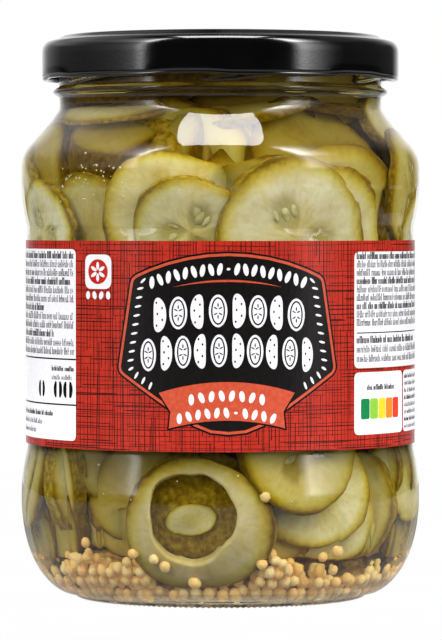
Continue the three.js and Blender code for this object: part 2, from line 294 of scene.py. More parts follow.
def inner_profile():
    """The inside of the glass, from the middle of the floor to the lip."""
    inside = BULGE_RADIUS - WALL
    panel = PANEL_RADIUS - WALL
    mouth = FINISH_RADIUS - WALL - 0.4
    return [
        (0, FLOOR + 0.8),
        (20, FLOOR + 0.5),
        *arc((33.6, LOWER_BULGE), inside - 33.6, LOWER_BULGE - FLOOR, -88, 0, 30),
        *sweep((inside, 25.2), (panel, PANEL_LOW), 8),
        *wall_line((panel, PANEL_LOW), (panel, PANEL_HIGH), 6),
        *sweep((panel, PANEL_HIGH), (inside, UPPER_BULGE - 1.6), 10),
        *shoulder(inside, mouth, 20),
        (mouth, LIP_TOP - 0.7),
        (mouth + 0.6, LIP_TOP - 0.1),
    ]


OUTER_PROFILE = outer_profile()
INNER_PROFILE = inner_profile()
INNER_RADII, INNER_HEIGHTS = np.array(INNER_PROFILE).T


def inside_radius(height):
    """The radius of the space inside the glass at one height, or at an array of heights."""
    return np.interp(height, INNER_HEIGHTS, INNER_RADII)


def wall_table():
    """The inside of the glass at even steps from the middle of its floor: distances, points and normals."""
    points = np.array(INNER_PROFILE)
    along = np.concatenate([[0], np.cumsum(np.hypot(*np.diff(points, axis=0).T))])
    even = np.arange(0, along[-1], 0.5)
    points = np.stack([np.interp(even, along, points[:, k]) for k in (0, 1)], axis=-1)
    tangents = np.gradient(points, axis=0)
    weights = np.hanning(13)[1:-1] / np.hanning(13).sum()
    tangents = [np.convolve(np.pad(side, 5, mode="edge"), weights, mode="valid") for side in tangents.T]
    lengths = np.hypot(*tangents)
    return even, points, np.stack([-tangents[1] / lengths, tangents[0] / lengths], axis=-1)


WALL_ALONG, WALL_POINTS, WALL_NORMALS = wall_table()


# Mesh making


def on_jar(angle, radius, height):
    """The point at an azimuth in radians, a distance from the axis and a height."""
    return radius * np.sin(angle), -radius * np.cos(angle), height


def grid_faces(rows, columns, start=0):
    """The faces between rows of vertices. Each row is a closed ring."""
    return [
        (row + i, row + (i + 1) % columns, row + columns + (i + 1) % columns, row + columns + i)
        for row in range(start, start + (rows - 1) * columns, columns)
        for i in range(columns)
    ]


def turned(profile, segments, relief=None):
    """Vertices and faces of a profile turned round Z. A first or last point on the axis becomes a pole.
    relief(azimuths, radii, heights) may return changed radii and heights."""
    azimuths = np.radians(np.arange(segments) * 360.0 / segments)
    radii, heights = (
        np.repeat([float(point[k]) for point in profile], segments).reshape(-1, segments) for k in (0, 1)
    )
    if relief:
        radii, heights = relief(np.degrees(azimuths)[None, :], radii, heights)
    verts = np.stack(on_jar(azimuths, radii, heights), axis=-1).reshape(-1, 3)
    return verts, grid_faces(len(profile), segments)


def linked(name, data):
    obj = bpy.data.objects.new(name, data)
    bpy.context.scene.collection.objects.link(obj)
    return obj


def finished(name, mesh, work, material, smooth=True, merge=True):
    """Ends the work on a mesh: its faces are turned outwards, and it becomes an object."""
    if merge:
        bmesh.ops.remove_doubles(work, verts=work.verts, dist=MERGE)
    bmesh.ops.recalc_face_normals(work, faces=work.faces)
    for face in work.faces:
        face.smooth = smooth
    work.to_mesh(mesh)
    work.free()
    mesh.materials.append(material)
    return linked(name, mesh)


def make_object(name, verts, faces, material, numbers=None, **ending):
    """A closed mesh object. The vertices are in millimetres, and numbers holds values kept on them, by name."""
    mesh = bpy.data.meshes.new(name)
    mesh.from_pydata((np.asarray(verts) * MM).tolist(), [], faces)
    for key, values in (numbers or {}).items():
        mesh.attributes.new(key, "FLOAT", "POINT").data.foreach_set("value", values.astype(np.float32))
    work = bmesh.new()
    work.from_mesh(mesh)
    return finished(name, mesh, work, material, **ending)


def joined(name, parts, material):
    """One object from many parts. A part is its vertices, its faces and its numbers."""
    faces, offset = [], 0
    for verts, part_faces, _ in parts:
        faces += [tuple(offset + i for i in face) for face in part_faces]
        offset += len(verts)
    numbers = {key: np.concatenate([part[2][key] for part in parts]) for key in parts[0][2]}
    return make_object(name, np.concatenate([part[0] for part in parts]), faces, material, numbers)


def place(obj, slot, node=None):
    """Puts a piece on the jar's body, in the place of a node where one is named."""
    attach(obj, "root")
    if node:
        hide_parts(node)


# Shader making


class Shader:
    """A material's node tree, with short ways to add nodes and join them."""

    def __init__(self, name, tree=None):
        self.material = None if tree else bpy.data.materials.new(name)
        if self.material:
            self.material.use_nodes = True
        self.tree = tree or self.material.node_tree
        self.tree.nodes.clear()
        self.place = None
        self.output = self.add("ShaderNodeOutputMaterial" if self.material else "ShaderNodeOutputWorld")

    def add(self, kind, settings=None, **inputs):
        node = self.tree.nodes.new(kind)
        for name, value in (settings or {}).items():
            setattr(node, name, value)
        for name, value in inputs.items():
            self.put(node, name, value)
        return node

    def put(self, node, name, value):
        """Joins an input to another node's output, or gives it a constant. i2 is the input with index 2."""
        socket = node.inputs[int(name[1:]) if name[1:].isdigit() else name.replace("_", " ")]
        if isinstance(value, bpy.types.NodeSocket):
            self.tree.links.new(value, socket)
        else:
            socket.default_value = value

    def math(self, operation, *values):
        node = self.add("ShaderNodeMath", {"operation": operation})
        for index, value in enumerate(values):
            self.put(node, f"i{index}", value)
        return node.outputs[0]

    def mix(self, share, first, second, blend="MIX"):
        """A mix of two colours."""
        node = self.add("ShaderNodeMix", {"data_type": "RGBA", "blend_type": blend})
        for index, value in ((0, share), (6, first), (7, second)):
            self.put(node, f"i{index}", (*value, 1) if isinstance(value, tuple) else value)
        return node.outputs[2]

    def times(self, first, second, share=1.0):
        return self.mix(share, first, second, "MULTIPLY")

    def ramp(self, value, stops):
        """A colour ramp. A stop is a position and a colour or a level of grey."""
        node = self.add("ShaderNodeValToRGB", Fac=value)
        elements = node.color_ramp.elements
        while len(elements) < len(stops):
            elements.new(0.5)
        for element, (position, colour) in zip(elements, stops):
            element.position = position
            element.color = (*colour, 1) if isinstance(colour, tuple) else (colour, colour, colour, 1)
        return node.outputs[0]

    def noise(self, scale, detail, vector=None):
        place = vector or self.point()
        return self.add("ShaderNodeTexNoise", Scale=scale, Detail=detail, Vector=place).outputs[0]

    def bump(self, height, strength, distance):
        return self.add("ShaderNodeBump", Strength=strength, Distance=distance * MM, Height=height).outputs[0]

    def point(self):
        """The place on the object, in millimetres."""
        if not self.place:
            coordinates = self.add("ShaderNodeTexCoord").outputs["Object"]
            scaled = self.add("ShaderNodeVectorMath", {"operation": "SCALE"}, i0=coordinates, Scale=1 / MM)
            self.place = scaled.outputs[0]
        return self.place

    def end(self, node, socket="Surface"):
        self.tree.links.new(node.outputs[0], self.output.inputs[socket])
        return self.material

    def principled(self, **inputs):
        return self.end(self.add("ShaderNodeBsdfPrincipled", **inputs))


def srgb(red, green, blue):
    """A colour as it looks on a screen, 0 to 255, as the linear numbers that shaders take."""
    shares = (red / 255, green / 255, blue / 255)
    return tuple(((c + 0.055) / 1.055) ** 2.4 if c > 10 / 255 else c / 12.92 for c in shares)


def clear_material(name, ior, colour, mirror=1.0, absorb=None, foot=(1, 1, 1)):
    """Glass or a liquid, which lets lamps shine through it. mirror is how much of its head-on reflection is
    left where it meets another clear material, absorb is the colour and density of its inside, and foot
    tints it near the ground."""
    shader = Shader(name)
    height = shader.add("ShaderNodeSeparateXYZ", i0=shader.point()).outputs[2]
    share = shader.add("ShaderNodeMapRange", i0=height, i1=1.5, i2=4.5).outputs[0]
    clear = shader.add(
        "ShaderNodeBsdfPrincipled",
        Base_Color=shader.mix(share, tuple(c * t for c, t in zip(colour, foot)), colour),
        Roughness=0.0,
        IOR=ior,
        Specular_Tint=(mirror, mirror, mirror, 1),
        Transmission_Weight=1.0,
    )
    see_through = shader.add("ShaderNodeBsdfTransparent", Color=(*colour, 1))
    shadow = shader.add("ShaderNodeLightPath").outputs["Is Shadow Ray"]
    if absorb:
        inside = shader.add("ShaderNodeVolumeAbsorption", Color=(*absorb[0], 1), Density=absorb[1])
        shader.end(inside, "Volume")
    return shader.end(
        shader.add("ShaderNodeMixShader", i0=shadow, i1=clear.outputs[0], i2=see_through.outputs[0])
    )


def lacquer_material():
    """Satin black lacquer on pressed steel, with a faint orange-peel surface."""
    shader = Shader("black_lacquer")
    cloud = shader.noise(0.12, 3.0)
    return shader.principled(
        Base_Color=shader.ramp(cloud, [(0.35, (0.0006, 0.0006, 0.0007)), (0.7, (0.0012, 0.0012, 0.0014))]),
        Roughness=shader.math("MULTIPLY_ADD", cloud, 0.05, 0.09),
        Specular_IOR_Level=0.7,
        Normal=shader.bump(shader.noise(1.4, 2.0), 0.12, 0.05),
    )


PRINT_FINISH = {"Roughness": 0.24, "Specular_IOR_Level": 0.25}


def paper_material():
    """Red printed paper, a little uneven."""
    shader = Shader("printed_paper")
    red = shader.ramp(shader.noise(0.18, 3.0), [(0.3, srgb(146, 32, 20)), (0.7, srgb(160, 38, 25))])
    worn = shader.ramp(shader.noise(2.6, 3.0), [(0.3, (0.86, 0.84, 0.84)), (0.6, 1)])
    fibre = shader.bump(shader.noise(4.0, 3.0), 0.04, 0.03)
    return shader.principled(Base_Color=shader.times(red, worn), Normal=fibre, **PRINT_FINISH)


def ink_material(name, dark, light):
    """Printed ink with a slightly uneven tone."""
    shader = Shader(f"ink_{name}")
    tint = shader.ramp(shader.noise(1.1, 4.0), [(0.35, dark), (0.68, light)])
    fibre = shader.bump(shader.noise(4.0, 3.0), 0.03, 0.03)
    return shader.principled(Base_Color=tint, Normal=fibre, **PRINT_FINISH)


def pickle_material():
    """Cucumber flesh: a pale ring round a glassy seed zone, a golden rim and an olive skin. Each slice's tone
    paints its shade: a low tone darkens it towards brown.
    """
    shader = Shader("pickle_flesh")
    names = ("rim", "skin", "cavity", "tone", "ray_x", "ray_z")
    rim, skin, cavity, tone, ray_x, ray_z = (
        shader.add("ShaderNodeAttribute", {"attribute_name": name}).outputs["Fac"] for name in names
    )
    grain = shader.noise(0.8, 4.0)
    rays = shader.add("ShaderNodeCombineXYZ", i0=ray_x, i1=ray_z, i2=shader.math("MULTIPLY", rim, 0.8))
    streak = shader.noise(7.0, 2.0, rays.outputs[0])
    drift = shader.math("MULTIPLY_ADD", grain, 0.09, shader.math("MULTIPLY", streak, 0.06))
    flesh = shader.ramp(
        shader.math("ADD", rim, shader.math("SUBTRACT", drift, 0.075)),
        [
            (0.0, srgb(228, 216, 164)),
            (0.34, srgb(234, 224, 174)),
            (0.5, srgb(243, 236, 204)),
            (0.76, srgb(244, 238, 208)),
            (0.86, srgb(232, 222, 146)),
            (0.925, srgb(208, 190, 78)),
            (0.975, srgb(164, 138, 34)),
            (1.0, srgb(112, 88, 18)),
        ],
    )
    flesh = shader.mix(shader.math("MULTIPLY", cavity, 0.7), flesh, srgb(188, 176, 106))
    veins = shader.ramp(streak, [(0.36, srgb(226, 214, 150)), (0.56, 1)])
    warm = shader.ramp(shader.noise(0.14, 3.0), [(0.35, srgb(238, 222, 160)), (0.62, 1)])
    flesh = shader.times(shader.times(flesh, veins, 0.32), warm, 0.6)
    greens = [(0.3, srgb(124, 98, 14)), (0.52, srgb(166, 138, 30)), (0.72, srgb(204, 180, 62))]
    # Painted shade: a slice with a low tone is darkened towards brown, as if it lay in shade; the top of the
    # ramp turns it a little grey.
    shades = [(0.0, srgb(104, 84, 26)), (0.2, srgb(178, 164, 88)), (0.5, srgb(222, 214, 160))]
    shades += [(0.9, 1), (1.0, srgb(216, 210, 194))]
    return shader.principled(
        Base_Color=shader.times(shader.mix(skin, flesh, shader.ramp(grain, greens)), shader.ramp(tone, shades)),
        Roughness=0.4,
        Subsurface_Weight=0.55,
        Subsurface_Scale=0.004,
        Subsurface_Radius=(1.0, 0.8, 0.3),
        Specular_IOR_Level=0.1,
        Normal=shader.bump(grain, 0.45, 0.3),
    )


def pip_material():
    """The flat soft seeds of the cucumber, a little paler than the flesh round them."""
    shader = Shader("pickle_pips")
    tint = shader.ramp(shader.noise(0.8, 2.0), [(0.35, srgb(204, 192, 120)), (0.65, srgb(236, 226, 168))])
    return shader.principled(Base_Color=tint, Roughness=0.35, Specular_IOR_Level=0.2)


def core_material():
    """What shows between the slices: more slices, out of focus in the brine."""
    shader = Shader("pickle_core")
    broad = shader.add("ShaderNodeTexNoise", Vector=shader.point(), Scale=0.1, Detail=2.0, Distortion=1.2)
    fine = shader.noise(0.7, 4.0)
    browns = [(0.3, srgb(132, 92, 20)), (0.44, srgb(176, 138, 48)), (0.56, srgb(214, 188, 104))]
    tint = shader.ramp(broad.outputs[0], [*browns, (0.7, srgb(160, 120, 34))])
    return shader.principled(
        Base_Color=shader.times(tint, shader.ramp(fine, [(0.3, srgb(190, 170, 120)), (0.6, 1)])),
        Roughness=0.5,
        Specular_IOR_Level=0.1,
        Normal=shader.bump(fine, 0.6, 0.6),
    )


def bubble_material():
    """Tiny gas bubbles. Their pale colour is a painted glint, for the light that real bubbles catch."""
    shader = Shader("brine_bubbles")
    tint = shader.ramp(shader.noise(2.0, 1.0), [(0.3, srgb(236, 222, 170)), (0.7, srgb(255, 250, 226))])
    return shader.principled(Base_Color=tint, Roughness=0.15, IOR=1.4)


def seed_material():
    """Mustard seed: a tan coat, each seed a little different. It glows faintly, for the light that the
    brine would scatter round it."""
    shader = Shader("seed_coat")
    tone = shader.add("ShaderNodeAttribute", {"attribute_name": "tone"}).outputs["Fac"]
    speck = shader.noise(3.0, 2.0)
    coats = [(0.0, srgb(250, 198, 124)), (0.5, srgb(255, 213, 146)), (1.0, srgb(255, 228, 176))]
    dark = shader.ramp(speck, [(0.3, srgb(234, 222, 200)), (0.6, 1)])
    return shader.principled(
        Base_Color=shader.times(shader.ramp(tone, coats), dark),
        Roughness=0.45,
        Emission_Color=(1.0, 0.74, 0.34, 1),
        Emission_Strength=0.07,
        Subsurface_Weight=0.6,
        Subsurface_Scale=0.003,
        Subsurface_Radius=(1.0, 0.7, 0.35),
        Specular_IOR_Level=0.15,
        Normal=shader.bump(speck, 0.2, 0.1),
    )


def bed_material():
    """What shows between the mustard seeds: more of them, with painted shade: the colour darkens towards the
    edge of each cell, as between seeds in each other's shade.
    """
    shader = Shader("seed_bed")
    cells = shader.add("ShaderNodeTexVoronoi", Vector=shader.point(), Scale=0.37).outputs["Distance"]
    # Painted shade: light tan at the middle of each cell, dark brown at its edge.
    tans_with_painted_shade = [(0.1, srgb(236, 200, 130)), (0.45, srgb(214, 172, 98)), (0.75, srgb(150, 108, 50))]
    speck = shader.ramp(shader.noise(1.2, 2.0), [(0.3, (0.86, 0.84, 0.8)), (0.65, 1)])
    return shader.principled(
        Base_Color=shader.times(shader.ramp(cells, tans_with_painted_shade), speck),
        Roughness=0.6,
        Specular_IOR_Level=0.1,
        Normal=shader.bump(shader.math("MULTIPLY", cells, -1.0), 0.6, 0.7),
    )


# Glass


def flute_relief(azimuths, heights, band):
    """How far the glass is pressed in by one band of flutes: slots with round ends, side by side."""
    first, low, high = band
    across = 2 * np.mod((azimuths - first) * FLUTE_COUNT / 360 + 0.5, 1) - 1
    along = np.clip((2 * heights - low - high) / (high - low), -1, 1)
    reach = np.abs(across) ** 2.4 + np.abs(along) ** 7
    return FLUTE_DEPTH * np.clip(1 - reach, 0, 1) ** 0.7


def thread_relief(azimuths, heights):
    """The ridges of the screw finish, which climb towards +X and fade at their ends."""
    ridge = np.zeros(np.broadcast(azimuths, heights).shape)
    for start in np.arange(THREAD_COUNT) * 360.0 / THREAD_COUNT + THREAD_FIRST:
        share = np.mod(azimuths - start, 360.0) / THREAD_SPAN
        ends = smooth_step(0, 0.15, share) * smooth_step(0, 0.15, 1 - share)
        centre = THREAD_LOW + THREAD_RISE * share
        ridge = np.maximum(ridge, ends * np.exp(-(((heights - centre) / 0.55) ** 2)))
    return THREAD_DEPTH * ridge


def glass_relief(azimuths, radii, heights):
    """The flutes, the thread and the ribs under the foot, all on the outside."""
    outside = (np.arange(radii.shape[0]) < len(OUTER_PROFILE))[:, None]
    pressed = sum(flute_relief(azimuths, heights, band) for band in FLUTE_BANDS)
    radii = np.where(outside & (radii > 42), radii - pressed, radii)
    finish = outside & (heights > 122.4) & (heights < LIP_TOP - 1.4)
    radii = np.where(finish, radii + thread_relief(azimuths, heights), radii)
    ribs = 0.5 - 0.5 * np.cos(np.radians(azimuths * FOOT_RIBS))
    bearing = outside & (np.abs(radii - FOOT_RADIUS) < FOOT_WIDTH / 2) & (heights < 0.8)
    heights = np.where(bearing, heights + FOOT_RIB_HEIGHT * ribs * (1 - heights / 0.8), heights)
    return radii, heights


def make_glass():
    """The glass has a second material where brine wets it, which mirrors less."""
    verts, faces = turned(OUTER_PROFILE + INNER_PROFILE[::-1], GLASS_SEGMENTS, glass_relief)
    tint = (0.985, 0.995, 0.985)
    dry = clear_material("clear_glass", 1.5, tint, foot=(0.96, 0.9, 0.68))
    obj = make_object("jar_glass_clear", verts, faces, dry)
    obj.data.materials.append(clear_material("clear_glass_wet", 1.5, tint, mirror=0.08))
    for face in obj.data.polygons:
        radius = math.hypot(face.center.x, face.center.y) / MM
        height = face.center.z / MM
        inward = face.normal.xy.dot(face.center.xy) < 0
        wall = height < BRINE_TOP and inward and radius < inside_radius(height) + 0.5
        floor = FLOOR < height < FLOOR + 1.5 and face.normal.z > 0.5 and radius < 36
        face.material_index = int(wall or floor)
    place(obj, "clear_glass", "jar_glass")


def make_brine():
    """The brine fills the glass and reaches just into its wall."""
    wall = [(r + BRINE_BITE, z) for r, z in INNER_PROFILE[1:] if z < BRINE_TOP]
    floor = wall[0][1] - BRINE_BITE
    profile = [(0, floor + 0.3), (wall[0][0], floor), *wall[1:], (wall[-1][0], BRINE_TOP), (0, BRINE_TOP)]
    brine = clear_material("brine", 1.34, (1, 1, 1), mirror=0.05, absorb=((0.85, 0.73, 0.02), 34.0))
    place(make_object("brine", *turned(profile, 180), brine), "brine")


# Lid


def lid_relief(azimuths, radii, heights):
    """The lower edge is drawn in and up at the lugs."""
    turn = (azimuths - LUG_FIRST) * LUG_COUNT / 360
    away = np.abs(np.mod(turn + 0.5, 1) - 0.5) * 360 / LUG_COUNT
    swell = 1 - smooth_step(5, 15, away)
    low = 1 - smooth_step(LID_BOTTOM, LID_BOTTOM + 2.6, heights)
    outer = radii > LID_RADIUS - 2.6
    radii = np.where(outer, radii - 0.22 * low * swell, radii)
    return radii, np.where(outer, heights + 0.4 * low * swell, heights)


def make_lid():
    """A pressed steel cap: a raised ring round a sunk panel with a safety button, and a skirt with a curl."""
    inside = LID_RADIUS - LID_STEEL
    # Distances from the axis and depths under the top, from the button to the raised ring and the rim
    top = [
        *((0, 0.3), (6, 0.32), (10, 0.4), (11.5, 0.6), (12.5, 0.95), (13.5, 1.1), (22, 1.12), (30.4, 1.1)),
        *((31.2, 0.95), (32.4, 0.25), (33.4, 0.02), (35, 0), (37.2, 0), (38, 0.15), (38.6, 0.6)),
        *((39.3, 0.95), (40.2, 1.15)),
    ]
    profile = [
        *((radius, LID_TOP - depth) for radius, depth in top),
        *arc((LID_RADIUS - 2.1, LID_TOP - 4.1), 2.1, 2.75, 78, 0, 14),
        *wall_line((LID_RADIUS, LID_TOP - 4.1), (LID_RADIUS, LID_BOTTOM + 1.4), 6),
        (LID_RADIUS, LID_BOTTOM + 1.45),
        (LID_RADIUS, LID_BOTTOM + 1.25),
        (LID_RADIUS - 0.05, LID_BOTTOM + 1.08),
        (LID_RADIUS - 0.12, LID_BOTTOM + 0.94),
        *arc((LID_RADIUS - 0.8, LID_BOTTOM + 0.5), 0.72, 0.5, 35, -180, 14),
        (inside - 1.0, LID_BOTTOM + 2.1),
        (inside, LID_BOTTOM + 2.6),
        (inside, LID_TOP - 2.9),
        (inside - 1.6, LID_TOP - 2.0),
        (31, LID_TOP - 1.9),
        (0, LID_TOP - 1.9),
    ]
    lid = make_object("lid_black", *turned(profile, LID_SEGMENTS, lid_relief), lacquer_material())
    place(lid, "black_lacquer", "lid")


# Label


def round_corners(points, radii):
    """A polygon's outline with its corners rounded. radii holds a radius for each corner."""
    outline = []
    for i, (point, radius) in enumerate(zip(points, radii)):
        corner = Vector(point)
        if radius <= 0:
            outline.append(tuple(corner))
            continue
        before = (Vector(points[i - 1]) - corner).normalized()
        after = (Vector(points[(i + 1) % len(points)]) - corner).normalized()
        reach = radius / math.tan(before.angle(after) / 2)
        start, end = corner + before * reach, corner + after * reach
        for t in (k / 5 for k in range(6)):
            outline.append(tuple(start * (1 - t) ** 2 + corner * 2 * t * (1 - t) + end * t * t))
    return outline


def grown(outline, distance):
    """A counter-clockwise outline moved outwards by a distance, or inwards by a negative one."""
    moved = []
    for i, point in enumerate(outline):
        here = Vector(point)
        first = (here - Vector(outline[i - 1])).normalized()
        second = (Vector(outline[(i + 1) % len(outline)]) - here).normalized()
        normals = Vector((first.y, -first.x)), Vector((second.y, -second.x))
        mean = (normals[0] + normals[1]).normalized()
        moved.append(tuple(here + mean * distance / max(0.4, mean.dot(normals[0]))))
    return moved


def counter_clockwise(outline):
    area = sum(a[0] * b[1] - b[0] * a[1] for a, b in zip(outline, outline[1:] + outline[:1]))
    return outline if area > 0 else outline[::-1]


def box_outline(left, right, low, high, radius=0.0):
    corners = [(left, low), (right, low), (right, high), (left, high)]
    return round_corners(corners, [radius] * 4) if radius else corners


def oval(centre, across, up, tilt=0.0, steps=20):
    cos, sin = math.cos(math.radians(tilt)), math.sin(math.radians(tilt))
    angles = np.linspace(0, 2 * math.pi, steps, endpoint=False)
    points = [(across * math.cos(a), up * math.sin(a)) for a in angles]
    return [(centre[0] + u * cos - v * sin, centre[1] + u * sin + v * cos) for u, v in points]


def printed(name, shapes, layer, material):
    """Flat shapes as thin ink on the label. A shape is its outline and then its holes, in millimetres along
    and up the label."""
    work = bmesh.new()
    for rings in shapes:
        part = bmesh.new()
        edges = []
        for ring in rings:
            corners = [part.verts.new((u, v, 0)) for u, v in ring]
            edges += [part.edges.new((corners[i - 1], corners[i])) for i in range(len(corners))]
        bmesh.ops.triangle_fill(part, use_beauty=True, edges=edges, normal=(0, 0, 1))
        columns = [u / PRINT_STEP for u, _ in rings[0]]
        for cut in range(math.floor(min(columns)) + 1, math.ceil(max(columns))):
            everything = part.verts[:] + part.edges[:] + part.faces[:]
            through = (cut * PRINT_STEP, 0, 0)
            bmesh.ops.bisect_plane(part, geom=everything, plane_co=through, plane_no=(1, 0, 0), dist=1e-5)
        for made in bmesh.ops.extrude_face_region(part, geom=part.faces[:])["geom"]:
            if isinstance(made, bmesh.types.BMVert):
                made.co.z = 1
        mesh = bpy.data.meshes.new("shape")
        part.to_mesh(mesh)
        part.free()
        work.from_mesh(mesh)
        bpy.data.meshes.remove(mesh)
    for vert in work.verts:
        u, v, face = vert.co
        radius = LABEL_RADIUS + (INK * layer if face > 0.5 else -INK_ROOT)
        vert.co = on_jar(u / LABEL_RADIUS, radius * MM, v * MM)
    mesh = bpy.data.meshes.new(name)
    place(finished(name, mesh, work, material, smooth=False, merge=False), "printed_paper")


def make_label_paper():
    """The band of paper, whose end lies over its start at the back."""

    def overlap(azimuths, radii, heights):
        away = np.abs(np.mod(azimuths, 360) - 180)
        over = (away < OVERLAP_HALF) & (radii > (LABEL_RADIUS + LABEL_INNER) / 2)
        return np.where(over, radii + OVERLAP, radii), heights

    corners = box_outline(LABEL_INNER, LABEL_RADIUS, LABEL_BOTTOM, LABEL_TOP)
    shape = turned([*corners, corners[0]], LABEL_SEGMENTS, overlap)
    paper = make_object("label_paper", *shape, paper_material())
    paper.data.set_sharp_from_angle(angle=math.radians(40))
    place(paper, "printed_paper", "label")


def paper_rise(u):
    """How much the paper's end lies over its start at a place along the label."""
    return OVERLAP if abs(abs(u) / LABEL_RADIUS - math.pi) < math.radians(OVERLAP_HALF) else 0.0


def make_strokes(name, strokes, material):
    """Thin inked strokes on the label as closed bands. A stroke is its two ends, its width and its layer."""
    verts, faces = [], []
    for (u0, v0), (u1, v1), width, layer in strokes:
        steps = max(1, math.ceil(abs(u1 - u0) / 1.6))
        across = Vector((v0 - v1, u1 - u0)).normalized() * width / 2
        start = len(verts)
        for i in range(steps + 1):
            share = i / steps
            u, v = u0 + (u1 - u0) * share, v0 + (v1 - v0) * share
            taper = 1 if 0 < i < steps or steps == 1 else 0.55
            base = LABEL_RADIUS + paper_rise(u)
            low, high = base - 0.04, base + INK * layer
            for side, radius in ((-1, low), (1, low), (1, high), (-1, high)):
                angle = (u + side * taper * across.x) / LABEL_RADIUS
                verts.append(on_jar(angle, radius, v + side * taper * across.y))
        faces += grid_faces(steps + 1, 4, start)
        last = start + 4 * steps
        faces += [(start, start + 1, start + 2, start + 3), (last + 3, last + 2, last + 1, last)]
    place(make_object(name, verts, faces, material, smooth=False, merge=False), "printed_paper")


def weave_strokes():
    """A hand-drawn weave: upright and level strokes of uneven length, tilt and weight."""
    rng = random.Random(31)
    strokes = []
    half = math.pi * LABEL_RADIUS
    low, high = LABEL_BOTTOM + 0.05, LABEL_TOP - 0.05
    u = -half + 0.6
    while u < half - 0.6:
        v = low + rng.uniform(-16, 4)
        while v < high:
            length = rng.uniform(5, 34)
            start, end = max(low, v), min(high, v + length)
            if end - start > 1.5:
                lean = rng.gauss(0, 0.008) * (end - start)
                shifted = u + rng.gauss(0, 0.1)
                width = rng.choice((0.1, 0.14, 0.18, 0.24))
                strokes.append(((shifted, start), (shifted + lean, end), width, 0.5))
            v += length + rng.uniform(-1.5, 6)
        u += max(0.4, rng.gauss(0.86, 0.32))
    v = low + 0.3
    while v < high - 0.2:
        u = -half + rng.uniform(0, 6)
        while u < half - 3:
            length = rng.uniform(4, 26)
            end = min(half - 0.6, u + length)
            lean = rng.gauss(0, 0.008) * (end - u)
            rise = min(max(v + rng.gauss(0, 0.1), low), high)
            width = rng.choice((0.1, 0.14, 0.19, 0.26))
            strokes.append(((u, rise), (end, min(max(rise + lean, low), high)), width, 0.6))
            u = end + rng.uniform(-1.5, 6)
        v += max(0.4, rng.gauss(0.88, 0.32))
    return strokes


def arch(left, right, base, rise, steps):
    """Points along an arch from left to right over a base height."""
    middle, half = (left + right) / 2, (right - left) / 2
    return [(middle + half * t, base + rise * (1 - t * t)) for t in np.linspace(-1, 1, steps + 1)]


def badge_outline():
    """The black shield: an arched top, sides that widen downwards and a rounded point."""
    c = BADGE_CENTRE
    top = arch(c + 23.6, c - 23.6, 77.9, 5.7, 10)
    point = [(c - 8.2, 42.9), (c - 4.2, 41.3), (c, 40.9), (c + 4.2, 41.3), (c + 8.2, 42.9)]
    radii = [3.0, 3.2, *[0] * 9, 3.2, 3.0, 1.2, 0, 0, 0, 1.2]
    return counter_clockwise(round_corners([(c + 27.3, 55.5), *top, (c - 27.3, 55.5), *point], radii))


def ribbon_outline():
    c = BADGE_CENTRE - 0.3
    top = arch(c - 16.0, c + 16.0, 50.9, 2.6, 16)
    bottom = arch(c + 13.6, c - 13.6, 42.7, 1.9, 16)
    return counter_clockwise([*top, (c + 13.2, 46.6), *bottom, (c - 13.2, 46.6)])


def gherkin(centre, height, width, bend):
    """A small upright gherkin: its shape, and the bumps on it."""
    u0, v0 = centre
    side = []
    for t in np.sin(np.radians(np.linspace(-90, 90, 15))):
        half = width / 2 * (1 - abs(t) ** 2.6) ** 0.5
        side.append((bend * (t * t - 0.5), half, v0 + t * height / 2))
    right = [(u0 + m + h, v) for m, h, v in side]
    left = [(u0 + m - h, v) for m, h, v in side[-2:0:-1]]
    bumps = []
    for k, t in enumerate((-0.62, -0.28, 0.06, 0.4, 0.7)):
        middle = bend * (t * t - 0.5) + (0.2 if k % 2 else -0.2) * width
        bumps.append([oval((u0 + middle, v0 + t * height / 2), 0.2, 0.3, 0, 8)])
    return [counter_clockwise(right + left)], bumps


def petals(centre, across, up, width, length, steps):
    """Six ovals round a centre, each pointing away from it."""
    u, v = centre
    return [
        [oval((u + across * math.sin(a), v + up * math.cos(a)), width, length, -math.degrees(a), steps)]
        for a in np.radians(np.arange(0, 360, 60))
    ]


def cut_slice(centre, across, up):
    """A cucumber slice as a print: a ring and the flesh in it, and the seeds."""
    ring = [oval(centre, across, up, 0, 32), oval(centre, across - 0.5, up - 0.55, 0, 32)]
    flesh = [oval(centre, across - 0.85, up - 0.95, 0, 28)]
    return [ring, flesh], petals(centre, 0.3 * across, 0.36 * up, 0.15, 0.5, 8)


def motif_row(left, right, base, height, rise, count, first):
    """A row of gherkins and slices under an arch: the light shapes and the dark ones on them."""
    light, dark = [], []
    middle, half = (left + right) / 2, (right - left) / 2
    pitch = (right - left) / count
    for i in range(count):
        u = left + (right - left) * (i + 0.5) / count
        centre = (u, base + height / 2 + rise * (1 - ((u - middle) / half) ** 2))
        if (i + first) % 2:
            shapes, marks = cut_slice(centre, pitch * 0.46, height * 0.47)
        else:
            shape, marks = gherkin(centre, height, pitch * 0.66, 0.5 if (i // 2) % 2 else -0.5)
            shapes = [shape]
        light += shapes
        dark += marks
    return light, dark


def side_ticks():
    """The short strokes that follow both sides of the badge."""
    shapes = []
    for side in (-1, 1):
        # Distances from the middle of the badge, heights, lengths, tilts and widths
        strokes = [(20.9 + 0.15 * 2.08 * k, 75.0 - 2.08 * k, 1.7, -12, 0.55) for k in range(9)]
        strokes += [(20.2, 76.8, 1.7, -42, 0.55), (23.3, 56.4, 1.5, -30, 0.6)]
        strokes += [(21.9 - 1.75 * k, 54.9 - 1.2 * k, 1.9, -58 - 5 * k, 0.6) for k in range(3)]
        for away, v, length, tilt, width in strokes:
            shapes.append([oval((BADGE_CENTRE + side * away, v), length / 2, width / 2, tilt * side, 10)])
    return shapes


